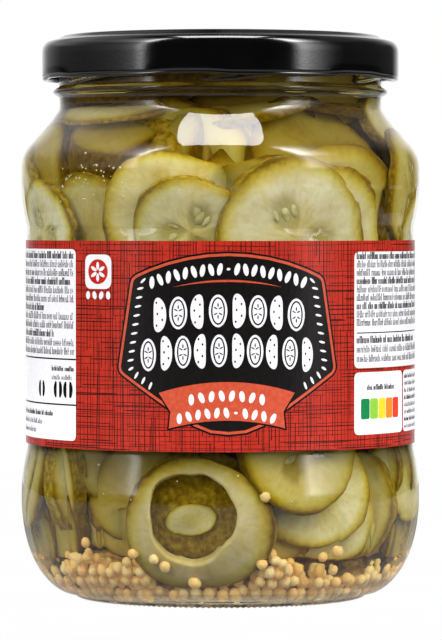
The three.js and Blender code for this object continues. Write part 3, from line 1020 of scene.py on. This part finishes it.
def seed_row(left, right, base, rise, count, across, up, gap=None):
    """A row of slanted seeds along an arch. gap is the number of one that shrinks to a dot."""
    shapes = []
    middle, half = (left + right) / 2, (right - left) / 2
    for i in range(count):
        u = left + (right - left) * i / (count - 1)
        share = (u - middle) / half
        centre = (u, base + rise * (1 - share * share))
        if i == gap:
            shapes.append([oval(centre, across * 0.7, across * 0.5, 0, 12)])
        else:
            shapes.append([oval(centre, across, up, -12 * share + (13 if i % 2 else -13), 14)])
    return shapes


def lens_line(left, right, base, rise, width):
    """A thin arched line that tapers at both ends."""
    top = arch(left, right, base, rise + width / 2, 20)
    bottom = arch(left, right, base, rise - width / 2, 20)
    return [counter_clockwise(top + bottom[::-1][1:-1])]


def fine_print(rng, left, right, high, low, pitch, height):
    """Lines of fine print as groups of small upright strokes."""
    strokes = []
    for row in range(int((high - low) / pitch)):
        v = high - pitch * (row + 1)
        weight = (0.36, 0.22, 0.24)[row % 3]
        end = right if rng.random() < 0.75 else left + (right - left) * rng.uniform(0.6, 0.95)
        u = left
        while u < end - 0.6:
            for _ in range(rng.randint(3, 11)):
                if u > end:
                    break
                tall = height * rng.choice((0.68, 0.68, 1.0))
                strokes.append(((u, v), (u, v + tall), weight, 1.5))
                if rng.random() < 0.6:
                    level = v + tall * rng.choice((0.12, 0.5, 0.88))
                    strokes.append(((u, level), (u + 0.36, level), 0.18, 1.6))
                u += rng.choice((0.4, 0.5))
            u += 0.45
    return strokes


def make_label_print():
    c = BADGE_CENTRE
    badge = badge_outline()
    ribbon = ribbon_outline()
    black = ink_material("black", (0.004, 0.003, 0.003), (0.006, 0.005, 0.005))
    orange = ink_material("orange", srgb(160, 60, 38), srgb(172, 72, 48))
    white = ink_material("white", srgb(196, 195, 199), srgb(204, 203, 207))
    grey = ink_material("grey", srgb(56, 54, 55), srgb(78, 76, 77))

    brown = ink_material("weave", (0.03, 0.004, 0.003), (0.055, 0.007, 0.005))
    make_strokes("label_weave", weave_strokes(), brown)
    panels = [[box_outline(*panel, 1.5)] for panel in (LEFT_PANEL, RIGHT_PANEL, LOWER_PANEL, STRIP_PANEL)]
    printed("label_panels", panels, 1, white)
    printed("label_badge_edge", [[badge, grown(badge, -0.5)[::-1]]], 1, black)
    printed("label_badge_ring", [[grown(badge, -0.45), grown(badge, -1.08)]], 1.4, orange)
    printed("label_badge", [[grown(badge, -1.03)]], 1, black)

    printed("label_ribbon_edge", [[grown(ribbon, 0.4)]], 2, black)
    printed("label_ribbon", [[ribbon]], 3, orange)
    printed("label_badge_line", [lens_line(c - 13.0, c + 12.6, 75.3, 1.5, 0.5)], 2, orange)

    motifs, seeds = motif_row(c - 18.6, c + 18.4, 64.6, 8.0, 1.3, 8, 0)
    more, more_seeds = motif_row(c - 21.0, c + 20.8, 55.4, 8.0, 1.3, 10, 1)
    printed("label_motif_seeds", seeds + more_seeds, 3, black)
    signs = seed_row(c - 18.0, c + 18.0, 76.4, 3.1, 19, 0.62, 1.45, 9)
    printed("label_motifs", motifs + more + signs + side_ticks(), 2, white)
    marks = seed_row(c - 8.6, c + 7.8, 49.4, 0.9, 8, 0.66, 1.3)
    marks += seed_row(c - 11.4, c + 10.4, 45.0, 1.4, 11, 0.62, 1.25, 6)
    printed("label_ribbon_marks", marks, 4, white)

    u, v = EMBLEM_CENTRE
    field = [box_outline(u - 3.9, u + 3.9, v - 4.0, v + 4.0, 1.9)]
    printed("label_emblem", [field, *seed_row(u - 3.0, u + 3.0, v - 5.5, 0, 4, 0.62, 0.95)], 1, white)
    red = ink_material("red", srgb(150, 24, 18), srgb(164, 32, 25))
    printed("label_emblem_disc", [[oval((u, v), 2.9, 2.9, 0, 32)]], 2, red)
    printed("label_emblem_leaves", petals((u, v), 1.35, 1.35, 0.42, 0.95, 12), 3, white)

    rng = random.Random(7)
    lines = [stroke for text in FINE_PRINT for stroke in fine_print(rng, *text)]
    make_strokes("label_fine_print", lines, grey)

    rules = [
        [box_outline(LEFT_PANEL[0] + 0.8, LEFT_PANEL[1], 58.0, 58.35)],
        [box_outline(LEFT_PANEL[0] + 0.8, LEFT_PANEL[1], 47.3, 47.65)],
        [box_outline(RIGHT_PANEL[0] + 0.8, RIGHT_PANEL[1] - 0.8, 64.3, 64.55)],
    ]
    for k in (0, 1, 2, 3, 6, 7):
        rules.append(gherkin((LEFT_PANEL[1] - 1.9 - 2.0 * k, 51.0), 3.9, 1.25, 0.3 if k % 2 else -0.3)[0])
    printed("label_rules", rules, 2, black)
    for k, (name, colour) in enumerate(SMALL_FIELDS.items()):
        u = LOWER_PANEL[0] + 2.2 + 3.2 * k
        ink = ink_material(name, srgb(*(0.94 * c for c in colour)), srgb(*colour))
        printed(f"label_field_{name}", [[box_outline(u, u + 3.0, 44.2, 49.0, 0.6)]], 2, ink)


# Pickle slices


class Lehmer:
    """The small seeded generator that also places the slices of the solid heap."""

    def __init__(self, seed):
        self.state = seed

    def __call__(self):
        self.state = (self.state * 16807) % 2147483647
        return self.state / 2147483647


def spot(azimuth, height, radius, **more):
    """Where a slice stands: its azimuth, the height of its middle and its radius. The rest is optional."""
    return dict(azimuth=azimuth, height=height, radius=radius, **more)


# The slices that show at the front, from the glass inwards. depth is how far one stands off the glass, lean
# tips its top inwards, turn swings its face sideways and tip turns it clockwise. up stretches it, thick is its
# thickness, tone its lightness, ragged how rough its rim is, and phase turns its cavities. A low tone is
# painted
# shade: it darkens a slice that lies deep or in the shade of others. A cored one has cavities with seeds, and a
# peeled one shows its skin. hole is the middle and the size of a hole.
FRONT_SLICES = [
    spot(23.4, 86.2, 18.9, up=1.02, cored=True, phase=2, tone=0.95),
    spot(-9.6, 87.8, 13.7, depth=0.4, lean=-9, cored=True, phase=1, tone=0.8),
    spot(-16.5, 92.4, 16.8, depth=1.6, turn=8, phase=3, tone=0.7),
    spot(19, 89.8, 19.5, depth=5.0, lean=-4, phase=3, tone=0.3),
    spot(35, 86.6, 17.6, depth=1.0, turn=-11, cored=True, phase=5, ragged=2.0, tone=0.8),
    spot(39, 92.0, 20.2, depth=3.6, turn=-7, lean=-8, thick=5, tone=0.45),
    spot(36, 106.0, 17.2, depth=5.4, lean=4, phase=4, tone=0.15),
    spot(4, 99.0, 15.0, depth=10.0, phase=3, tone=0.2),
    spot(82, 98.0, 15.5, depth=1.0, turn=6, thick=2.4, cored=True, phase=2, tone=0.45),
    spot(90, 84.0, 14.0, depth=0.2, thick=2.4, cored=True, phase=3, tone=0.9),
    spot(-46, 106.4, 11.0, depth=2.0, lean=70, tip=10, thick=7.4, phase=5, tone=0.2),
    spot(-69, 87.4, 13.6, depth=0.2, thick=2.2, cored=True, phase=0, tone=0.9),
    spot(-47, 88.2, 14.0, depth=3.0, lean=-9, phase=2, tone=0.65),
    spot(-78, 102.0, 14.0, depth=3.4, lean=-4, phase=2, tone=0.3),
    spot(-36, 109.0, 13.0, depth=9.0, peeled=True, phase=2),
    spot(-58, 116.6, 15.0, depth=0.4, lean=73, thick=1.8, phase=1, tone=0.62),
    spot(16, 116.4, 13.0, depth=0.6, lean=77, tip=-20, thick=3.0, phase=4, tone=0.4),
    spot(60, 116.6, 12.5, depth=0.6, lean=80, tip=10, thick=3.6, phase=3, tone=0.1),
    spot(80, 111.5, 10.0, depth=0.6, lean=20, rigid=True, phase=3, tone=1.0),
    spot(-7, 19.0, 17.2, depth=1.1, phase=1, hole=(-1.4, 2.6, 9.9, 11.3), ragged=0.8, tone=1.0),
    spot(-9.4, 20.8, 5.9, depth=5.3, tip=-10, up=0.75, thick=2, tone=0.7),
    spot(-8, 23.0, 15.0, depth=5.6, peeled=True, phase=3),
    spot(26, 37.4, 14.8, cored=True, phase=0, tone=0.42),
    spot(32.5, 27.6, 15.0, depth=3.0, turn=-6, phase=2, tone=0.88),
    spot(40, 18.6, 13.0, depth=5.0, turn=-6, phase=4, tone=0.9),
    spot(60, 32.0, 14.0, depth=0.6, turn=-66, rigid=True, cored=True, phase=1, tone=0.45),
    spot(67, 31.0, 14.0, depth=0.6, turn=-48, rigid=True, cored=True, phase=1, tone=0.55),
    spot(79, 33.0, 14.5, depth=0.4, turn=-8, thick=2.4, cored=True, phase=5, tone=0.6),
    spot(-84, 30.0, 13.5, depth=0.4, thick=2.4, cored=True, phase=2, tone=0.45),
    spot(-68, 30.0, 14.0, depth=0.6, turn=-26, lean=-10, rigid=True, phase=0, tone=0.7),
    spot(-58, 30.0, 15.6, depth=0.6, turn=84, lean=24, thick=4.6, rigid=True, phase=2, tone=0.85),
    spot(-46, 35.0, 14.0, depth=1.2, turn=76, lean=24, thick=4.0, rigid=True, phase=4, tone=0.7),
    spot(-38, 19.0, 13.0, depth=9.0, turn=5, phase=1, tone=0.8),
    spot(-28, 26.0, 14.0, depth=7.0, turn=8, phase=3, tone=0.4),
    spot(3, 37.0, 13.0, depth=6.0, lean=12, phase=3, tone=0.15),
    spot(-72, 18.0, 13.4, depth=5.0, turn=-6, phase=1, tone=0.4),
    spot(-31, 14.0, 10.0, depth=8.0, phase=1, tone=0.4),
    spot(14, 16.0, 12.0, depth=6.4, phase=2, tone=0.5),
    spot(36, 13.0, 9.6, depth=8.0, phase=1, tone=0.3),
    spot(54, 24.0, 13.0, depth=1.0, turn=-62, rigid=True, phase=3, tone=0.6),
    spot(64, 17.0, 12.5, depth=8.0, phase=0, tone=0.3),
    spot(88, 16.0, 12.5, depth=4.6, cored=True, phase=0, tone=0.35),
    spot(-86, 16.0, 12.5, depth=4.6, cored=True, phase=0, tone=0.35),
]

# The middle, half the width and the top of a place at the left without random slices, as three of the
# slices above stand on edge there
FREE_AZIMUTH, FREE_HALF, FREE_HEIGHT = 54, 18, 45

# Rows of slices round the rest of the jar: height, first and last azimuth, and how many
SLICE_ROWS = [(32, 92, 268, 6), (92, 86, 275, 6)]


def row_slices():
    """The slices against the glass that aren't seen from the front."""
    draw = Lehmer(720)
    slices = []
    for height, start, end, count in SLICE_ROWS:
        for i in range(count):
            azimuth = start + (end - start) * i / (count - 1) + 8 * (draw() - 0.5)
            middle = height + 4 * (draw() - 0.5)
            radius = 14.5 + 3 * draw()
            lean = 16 * (draw() - 0.5)
            turn = 12 * (draw() - 0.5)
            phase = 2 * math.pi * draw()
            more = dict(lean=lean, turn=turn, phase=phase, tone=0.4 + 0.6 * draw())
            slices.append(spot(azimuth, middle, radius, depth=0 if i % 2 else 3, cored=True, **more))
    for azimuth in range(112, 270, 37):
        slices.append(spot(azimuth, 17.5, 12.5, depth=5.0, phase=azimuth, tone=0.55))
    return slices


def filling_slices():
    """Slices behind the ones at the glass, in random attitudes, and flat ones in the neck, with low tones that
    paint their shade.
    """
    rng = random.Random(34)
    slices = []
    for height, depth, count in ((21, 9, 9), (36, 8, 10), (84, 9, 10), (100, 8, 10), (110, 7, 9)):
        shift = rng.uniform(0, 360)
        for i in range(count):
            slices.append(
                spot(
                    shift + 360 * i / count + rng.uniform(-8, 8),
                    height + rng.uniform(-4, 4),
                    rng.uniform(12.5, 16.5),
                    depth=depth + rng.uniform(-1.5, 2.5),
                    lean=rng.uniform(-28, 28),
                    rigid=True,
                    cored=True,
                    turn=rng.uniform(-30, 30),
                    phase=rng.uniform(0, 6),
                    # Painted shade: low tones, and lower still in the neck, for the shade under the lid.
                    tone=rng.uniform(0.1, 0.6) * (0.4 if height > 105 else 1),
                )
            )
    for i in range(7):
        slices.append(
            spot(
                70 + 46 * i,
                114.5 + 1.6 * i,
                rng.uniform(12, 14),
                depth=1 + rng.uniform(0, 5),
                lean=rng.choice((-1, 1)) * rng.uniform(74, 86),
                peeled=True,
                phase=rng.uniform(0, 6),
                # Painted shade: the flat slices in the neck get the darkest tones.
                tone=rng.uniform(0.0, 0.15),
            )
        )
    return slices


def slice_rings(thick, hole):
    """The rings of a slice's surface, as (share of the way out, share of the thickness, skin)."""
    edge = 0.55 / 15
    front = [(f, 0.0, 0.0) for f in (0.12, 0.24, 0.36, 0.48, 0.6, 0.7, 0.79, 0.87, 0.93)]
    bends = ((0.5, 0.25), (1.05, 0.7), (1.5, 1.0))
    turn = [(1 - edge * (1 - math.sin(a)), (1 - math.cos(a)) * 0.5 / thick, s) for a, s in bends]
    side = [(1.0, 0.35, 1.0), (1.0, 0.65, 1.0)]
    back = [(f, 1 - t, s) for f, t, s in reversed(front + turn)]
    rings = front + turn + side + back
    if not hole:
        return [(0.0, 0.0, 0.0), *rings, (0.0, 1.0, 0.0)]
    inner = [(0.0, 0.5, 0.0), (0.0, 0.15, 0.0), (0.03, 0.0, 0.0)]
    return [*inner, *rings, *((f, 1 - t, s) for f, t, s in reversed(inner))]


def cavity_share(x, z, phase):
    """1 in the three seed cavities of a slice and 0 between them. x and z are shares of its radius."""
    share = np.zeros_like(x)
    for k in range(3):
        turn = phase + 2 * math.pi * k / 3
        out = x * math.cos(turn) + z * math.sin(turn)
        side = -x * math.sin(turn) + z * math.cos(turn)
        reach = ((out - 0.33) / 0.25) ** 2 + (side / 0.19) ** 2
        share = np.maximum(share, 1 - smooth_step(0.55, 1.25, reach))
    return share


def rigid(spec):
    """Whether a slice keeps its form. The others bend to the glass."""
    return spec.get("rigid", abs(spec.get("lean", 0)) > 45)


def bow(spec):
    """How much a slice that keeps its form is bowed, as the glass is."""
    return 0.5 / 48.6 if rigid(spec) else 0.0


def loose_slice(spec, sides):
    """One slice at the origin, facing -Y: its vertices, faces and the numbers its material reads."""
    radius, thick, phase = spec["radius"], spec.get("thick", SLICE_THICKNESS), spec.get("phase", 0)
    hole = spec.get("hole")
    angles = np.linspace(0, 2 * math.pi, sides, endpoint=False)
    cos, sin = np.cos(angles), np.sin(angles)
    wave = 1 + 0.03 * np.sin(3 * angles + phase) + 0.018 * np.sin(2 * angles + 2.3 * phase)
    fine = 0.008 * np.sin(7 * angles + 3 * phase) + 0.006 * np.sin(13 * angles + phase)
    fine += 0.004 * np.sin(23 * angles)
    wave += spec.get("ragged", 1.0) * fine
    inner_x = inner_z = np.zeros(sides)
    if hole:
        off_x, off_z, across, up = hole
        torn = 1 + 0.05 * np.sin(3 * angles + 0.6) + 0.03 * np.sin(5 * angles + 2.2)
        torn += 0.012 * np.sin(11 * angles)
        inner_x, inner_z = off_x + across * torn * cos, off_z + up * torn * sin
    rings = np.array(slice_rings(thick, hole))
    share, through, skin = (np.repeat(column, sides) for column in rings.T)
    inner_x, inner_z, outer_x, outer_z = (
        np.tile(row, len(rings)) for row in (inner_x, inner_z, radius * wave * cos, radius * wave * sin)
    )
    x = inner_x + (outer_x - inner_x) * share
    z = inner_z + (outer_z - inner_z) * share
    flat_x, flat_z = x / radius, z / radius
    rim = np.sqrt(flat_x**2 + flat_z**2)
    cavity = cavity_share(flat_x, flat_z, phase) * (1 - smooth_step(0.0, 0.3, skin))
    if not spec.get("cored"):
        cavity *= 0.0
    if spec.get("peeled"):
        skin = np.maximum(skin, 1 - smooth_step(0.2, 0.5, through))
    faces_out = (through < 0.05).astype(float) - (through > 0.95).astype(float)
    ripple = 0.16 * np.sin(0.45 * x + phase) * np.sin(0.4 * z + 2 * phase)
    dish = 0.25 * np.clip(1 - rim**2, 0, 1) + 0.5 * cavity
    y = (through - 0.5) * thick + faces_out * (dish + ripple) + bow(spec) * x * x
    length = np.maximum(rim, 1e-6)
    numbers = {
        "rim": rim,
        "skin": skin,
        "cavity": cavity,
        "tone": np.full(len(x), spec.get("tone", 0.7)),
        "ray_x": flat_x / length + 3 * phase,
        "ray_z": flat_z / length + spec["height"],
    }
    return np.stack([x, y, z * spec.get("up", 1.0)], axis=-1), grid_faces(len(rings), sides), numbers


def pressed(moved, spec, nearest):
    """Bends a turned slice to the glass, depth away from it. nearest is where the slice is nearest to it."""
    on_wall = WALL_POINTS[:, 0] > 30
    start = np.interp(spec["height"], WALL_POINTS[on_wall, 1], WALL_ALONG[on_wall])
    along = start + moved[:, 2]
    inset = WALL_CLEARANCE + spec.get("depth", 0) + moved[:, 1] - nearest
    radius, height = (
        np.interp(along, WALL_ALONG, points) + np.interp(along, WALL_ALONG, normals) * inset
        for points, normals in zip(WALL_POINTS.T, WALL_NORMALS.T)
    )
    angle = math.radians(spec["azimuth"]) + moved[:, 0] / np.maximum(radius, 12)
    return np.stack(on_jar(angle, radius, height), axis=-1)


def settled(verts, spec, extra=()):
    """Turns a slice at the origin and bends it to the glass, or moves it out until it touches, less depth.
    extra holds the vertices of what moves with it."""
    tip, lean, turn, azimuth = (math.radians(spec.get(key, 0)) for key in ("tip", "lean", "turn", "azimuth"))
    tipped, leant, turned_round = (Euler(a).to_matrix() for a in ((0, tip, 0), (-lean, 0, 0), (0, 0, turn)))
    turning = tipped @ leant @ turned_round
    parts = [part @ np.array(turning).T for part in (verts, *extra)]
    moved = parts[0]
    if not rigid(spec):
        return [pressed(part, spec, moved[:, 1].min()) for part in parts]
    limit = inside_radius(spec["height"] + moved[:, 2]) - WALL_CLEARANCE
    out = np.min(np.sqrt(np.maximum(1.0, limit**2 - moved[:, 0] ** 2)) + moved[:, 1])
    shift = np.array([0, spec.get("depth", 0) - out, spec["height"]])
    cos, sin = math.cos(azimuth), math.sin(azimuth)
    spin = np.array([[cos, -sin, 0], [sin, cos, 0], [0, 0, 1]])
    return [(part + shift) @ spin.T for part in parts]


def globe(rows, sides):
    """A ball's points as angles from its first pole and round it, and its faces."""
    down = [math.pi * row / rows for row in range(rows + 1)]
    return [(t, 2 * math.pi * i / sides) for t in down for i in range(sides)], grid_faces(rows + 1, sides)


def pip_shape(length, width, thick):
    """A flat seed lying along X, blunter at one end."""
    angles, faces = globe(6, 10)
    verts = []
    for t, a in angles:
        x = -length / 2 * math.cos(t) * (1 + 0.12 * math.cos(t))
        verts.append((x, thick / 2 * math.sin(t) * math.cos(a), width / 2 * math.sin(t) * math.sin(a)))
    return np.array(verts), faces


def ball(rows, sides):
    angles, faces = globe(rows, sides)
    verts = [(math.sin(t) * math.cos(a), math.sin(t) * math.sin(a), math.cos(t)) for t, a in angles]
    return np.array(verts), faces


def slice_pips(spec, rng):
    """The seeds in the three cavities of a slice, on its outer face, at the origin."""
    base, faces = pip_shape(3.6, 1.7, 0.8)
    radius, thick, phase = spec["radius"], spec.get("thick", SLICE_THICKNESS), spec.get("phase", 0)
    placed = []
    for k in range(3):
        turn = phase + 2 * math.pi * k / 3
        for side in (-1, 0, 1):
            if rng.random() < 0.25:
                continue
            out = radius * (0.33 + rng.uniform(-0.08, 0.08))
            across = radius * 0.115 * side
            angle = turn + rng.uniform(-0.25, 0.25) + side * 0.3
            c, s = math.cos(angle), math.sin(angle)
            spin = np.array([[c, 0, -s], [0, 1, 0], [s, 0, c]])
            x = out * math.cos(turn) - across * math.sin(turn)
            z = out * math.sin(turn) + across * math.cos(turn)
            y = -thick / 2 + 0.75 + bow(spec) * x * x
            placed.append(base * rng.uniform(0.8, 1.1) @ spin.T + np.array([x, y, z * spec.get("up", 1.0)]))
    return placed, faces


def make_slices():
    flesh = pickle_material()
    rng = random.Random(11)
    near, pips, deep = [], [], []
    for spec in FRONT_SLICES + row_slices():
        verts, faces, numbers = loose_slice(spec, NEAR_SIDES)
        extra, pip_faces = slice_pips(spec, rng) if spec.get("cored") else ([], [])
        moved, *moved_pips = settled(verts, spec, extra)
        near.append((moved, faces, numbers))
        pips += [(pip, pip_faces, {}) for pip in moved_pips]
    for spec in filling_slices():
        away = abs((spec["azimuth"] + FREE_AZIMUTH + 180) % 360 - 180)
        if spec["height"] > FREE_HEIGHT or away >= FREE_HALF:
            verts, faces, numbers = loose_slice(spec, DEEP_SIDES)
            deep.append((settled(verts, spec)[0], faces, numbers))
    place(joined("pickle_slices_near", near, flesh), "pickle_flesh", "pickle_slices")
    place(joined("pickle_slices_deep", deep, flesh), "pickle_flesh", "pickle_slices")
    place(joined("pickle_pips", pips, pip_material()), "pickle_flesh")


def make_core():
    """The middle of the heap, which fills the gaps between the slices with more of the same."""
    heights = np.linspace(CORE_LOW, CORE_HIGH, 60)
    wall = [(inside_radius(height) - CORE_DEPTH, height) for height in heights]

    def lumps(azimuths, radii, heights):
        turn = np.radians(azimuths)
        swell = np.sin(3 * turn + 0.11 * heights) + 0.8 * np.sin(5 * turn - 0.17 * heights)
        swell = swell + 0.7 * np.sin(8 * turn + 0.3 * heights)
        return np.where(radii > 1, radii + 0.8 * swell, radii), heights

    shape = turned([(0, CORE_LOW), *wall, (0, CORE_HIGH)], 120, lumps)
    place(make_object("pickle_core", *shape, core_material()), "pickle_flesh", "pickle_slices")


def make_bubbles():
    """Small bubbles against the glass, most of them on the thick slice at the upper left."""
    rng = random.Random(19)
    base, faces = ball(6, 8)
    parts = []
    for i in range(BUBBLES):
        near = i < SHOULDER_BUBBLES
        azimuth = rng.gauss(-42, 9) if near else rng.uniform(-180, 180)
        height = rng.gauss(100.5, 2.6) if near else rng.choice((rng.uniform(15, 34), rng.uniform(90, 114)))
        radius = rng.uniform(0.14, 0.32)
        centre = on_jar(math.radians(azimuth), inside_radius(height) - radius - 0.2, height)
        parts.append((base * radius + centre, faces, {}))
    place(joined("brine_bubbles", parts, bubble_material()), "brine")


# Mustard seeds


def heap_top(azimuth):
    """How high the mustard seeds lie at an azimuth."""
    top = SEED_BED
    for middle, half, height in SEED_HEAPS:
        away = abs((azimuth - middle + 180) % 360 - 180)
        fall = float(smooth_step(0.3 * half, 1.2 * half, away))
        top = max(top, SEED_BED + (height - SEED_BED) * (1 - fall))
    return top


def seed_places():
    """Where the mustard seeds lie: azimuth, distance from the axis and height."""
    rng = random.Random(62)
    places = []
    for row in range(5):
        middle = 5.5 + 2.1 * row
        for lane in range(9 if row == 0 else 3):
            out = float(inside_radius(middle - 0.6)) - SEED_RADIUS - 0.2 - lane * SEED_LANE
            count = int(2 * math.pi * out / (1.96 * SEED_RADIUS))
            for i in range(count):
                azimuth = 360 * (i + 0.5 * ((row + lane) % 2) + rng.uniform(-0.25, 0.25)) / count
                azimuth = (azimuth + 180) % 360 - 180
                height = middle + rng.uniform(-0.6, 0.6)
                step = rng.uniform(0, 0.4)
                limit = heap_top(azimuth) + rng.gauss(0, 0.7) + 0.5 * lane
                behind_ring = abs(azimuth + 6) < 17 and lane < 2 and row > 0
                if (row > 0 and height > limit) or behind_ring:
                    continue
                places.append((azimuth, out - step, height))
    for azimuth, height in STRAY_SEEDS:
        places.append((azimuth, float(inside_radius(height)) - SEED_RADIUS - 0.15, height))
    return places


def make_bed():
    """The inside of the seed heap, which rises towards the middle of the jar."""
    low = FLOOR + 1.0
    # Distances inside the glass, shares of the heap's height and how much more there is towards the middle
    rows = [(5.2, i / 8, 0.0) for i in range(9)]
    rows += [(7.0, 1, 1.2), (10.0, 1, 2.6), (15.0, 1, 3.6), (22.0, 1, 4.0)]

    def heaped(azimuths, radii, heights):
        tops = np.array([heap_top((a + 180) % 360 - 180) for a in azimuths[0]]) - 1.0
        for k, (inset, share, more) in enumerate(rows):
            turn = np.radians(azimuths[0])
            wave = 0.3 * np.sin(23 * turn + 1.7 * k) + 0.2 * np.sin(41 * turn - k)
            heights[k + 1] = low + (tops - low) * share + more
            radii[k + 1] = inside_radius(heights[k + 1]) - inset + wave
        return radii, heights

    profile = [(0, low), *[(10, low)] * len(rows), (0, 13.0)]
    bed = make_object("mustard_bed", *turned(profile, 180, heaped), bed_material())
    place(bed, "seed_coat", "mustard_seeds")


def make_seeds():
    rng = random.Random(5)
    base, faces = ball(6, 9)
    parts = []
    for azimuth, out, height in seed_places():
        size = SEED_RADIUS * rng.uniform(0.88, 1.06)
        form = base * np.array([size, size * rng.uniform(0.92, 1), size * rng.uniform(0.95, 1.1)])
        turning = np.array(Euler([rng.uniform(0, 6.28) for _ in range(3)]).to_matrix())
        centre = on_jar(math.radians(azimuth), out, height)
        parts.append((form @ turning.T + centre, faces, {"tone": np.full(len(base), rng.random())}))
    place(joined("mustard_seeds_round", parts, seed_material()), "seed_coat", "mustard_seeds")


# Stage


def make_camera():
    data = bpy.data.cameras.new("camera")
    data.sensor_width = SENSOR
    data.lens = FOCAL_PIXELS * SENSOR / IMAGE_HEIGHT
    data.clip_end = 20
    camera = linked("camera", data)
    camera.location = (0, -CAMERA_DISTANCE * MM, CAMERA_HEIGHT * MM)
    down = math.atan((IMAGE_HEIGHT / 2 - HORIZON_ROW) / FOCAL_PIXELS)
    aside = math.atan((IMAGE_WIDTH / 2 - AXIS_COLUMN) / FOCAL_PIXELS)
    camera.rotation_euler = (math.pi / 2 - down, 0, -aside)
    bpy.context.scene.camera = camera


def make_softbox(name, azimuth, low, high, width, distance, radiance, mirrored=False):
    """A leaning rectangle of light, aimed at the jar. It either lights things or is mirrored by them."""
    middle, angle = math.radians((low + high) / 2), math.radians(azimuth)
    data = bpy.data.lights.new(name, "AREA")
    data.shape = "RECTANGLE"
    data.size = width * MM
    data.size_y = 2 * distance * math.tan(math.radians(high - low) / 2) * MM
    data.energy = radiance * math.pi * data.size * data.size_y
    light = linked(name, data)
    out = Vector(on_jar(angle, math.cos(middle), math.sin(middle)))
    light.location = Vector((0, 0, TARGET_HEIGHT * MM)) + out * distance * MM
    light.rotation_euler = out.to_track_quat("Z", "Y").to_euler()
    light.visible_camera = False
    light.visible_transmission = False
    light.visible_diffuse = not mirrored
    light.visible_glossy = mirrored
    return light


def make_lights():
    make_softbox("overhead", *OVERHEAD_BOX, mirrored=True)
    for name, box in FILL_BOXES.items():
        make_softbox(name, *box)
    glow = make_softbox("table_glow", 0, 89, 91, TABLE_GLOW_WIDTH, 300, 1.0)
    glow.data.shape = "DISK"
    glow.data.energy = TABLE_GLOW * math.pi * math.pi * (glow.data.size / 2) ** 2
    glow.location = (0, 0, 0.3 * MM)
    glow.rotation_euler = (math.pi, 0, 0)


def make_world():
    """White for the camera. For reflections: a dark room with painted softboxes and a white backdrop."""
    world = bpy.data.worlds.new("studio")
    bpy.context.scene.world = world
    world.use_nodes = True
    studio = Shader("studio_world", world.node_tree)
    direction = studio.add("ShaderNodeTexCoord").outputs["Generated"]
    x, y, z = studio.add("ShaderNodeSeparateXYZ", i0=direction).outputs
    azimuth = studio.math("ARCTAN2", x, studio.math("MULTIPLY", y, -1.0))
    azimuth = studio.math("MULTIPLY_ADD", azimuth, 1 / (2 * math.pi), 0.5)
    elevation = studio.math("MULTIPLY_ADD", studio.math("ARCSINE", z), 1 / math.pi, 0.5)
    room = ROOM_RADIANCE
    for across, upwards, radiance in PAINTED_LIGHTS:
        round_about = studio.ramp(azimuth, [(degrees / 360 + 0.5, level) for degrees, level in across])
        window = studio.ramp(elevation, [(degrees / 180 + 0.5, level) for degrees, level in upwards])
        room = studio.math("MULTIPLY_ADD", studio.math("MULTIPLY", round_about, window), radiance, room)
    seen = studio.add("ShaderNodeLightPath").outputs["Is Camera Ray"]
    level = studio.add("ShaderNodeMix", {"data_type": "FLOAT"}, i0=seen, i2=room, i3=1.0).outputs[0]
    studio.end(studio.add("ShaderNodeBackground", Color=(1, 1, 1, 1), Strength=level))


def make_floor():
    """A small white table, as bright as the backdrop. Its light on things and its mirror image have their own
    levels."""
    shader = Shader("floor_white")
    tint = shader.ramp(shader.noise(0.02, 2.0), [(0.3, 0.99), (0.7, 1)])
    rays = shader.add("ShaderNodeLightPath").outputs
    level = FLOOR_LAMP
    seen = shader.math("MAXIMUM", rays["Is Camera Ray"], rays["Is Transmission Ray"])
    for ray, strength in ((rays["Is Glossy Ray"], FLOOR_REFLECTED), (seen, 1.0)):
        level = shader.add("ShaderNodeMix", {"data_type": "FLOAT"}, i0=ray, i2=level, i3=strength).outputs[0]
    shader.end(shader.add("ShaderNodeEmission", Color=tint, Strength=level))
    shader.material.cycles.emission_sampling = "FRONT"
    mesh = bpy.data.meshes.new("floor")
    half = FLOOR_HALF * MM
    corners = [(-half, -half, 0), (half, -half, 0), (half, half, 0), (-half, half, 0)]
    mesh.from_pydata(corners, [], [(0, 1, 2, 3)])
    mesh.materials.append(shader.material)
    linked("floor", mesh)


make_camera()
make_glass()
make_brine()
make_lid()
make_label_paper()
make_label_print()
make_core()
make_slices()
make_bubbles()
make_bed()
make_seeds()
make_lights()
make_world()
make_floor()

scene = bpy.context.scene
scene.view_settings.view_transform = "Standard"
scene.cycles.caustics_refractive = False
scene.cycles.caustics_reflective = False
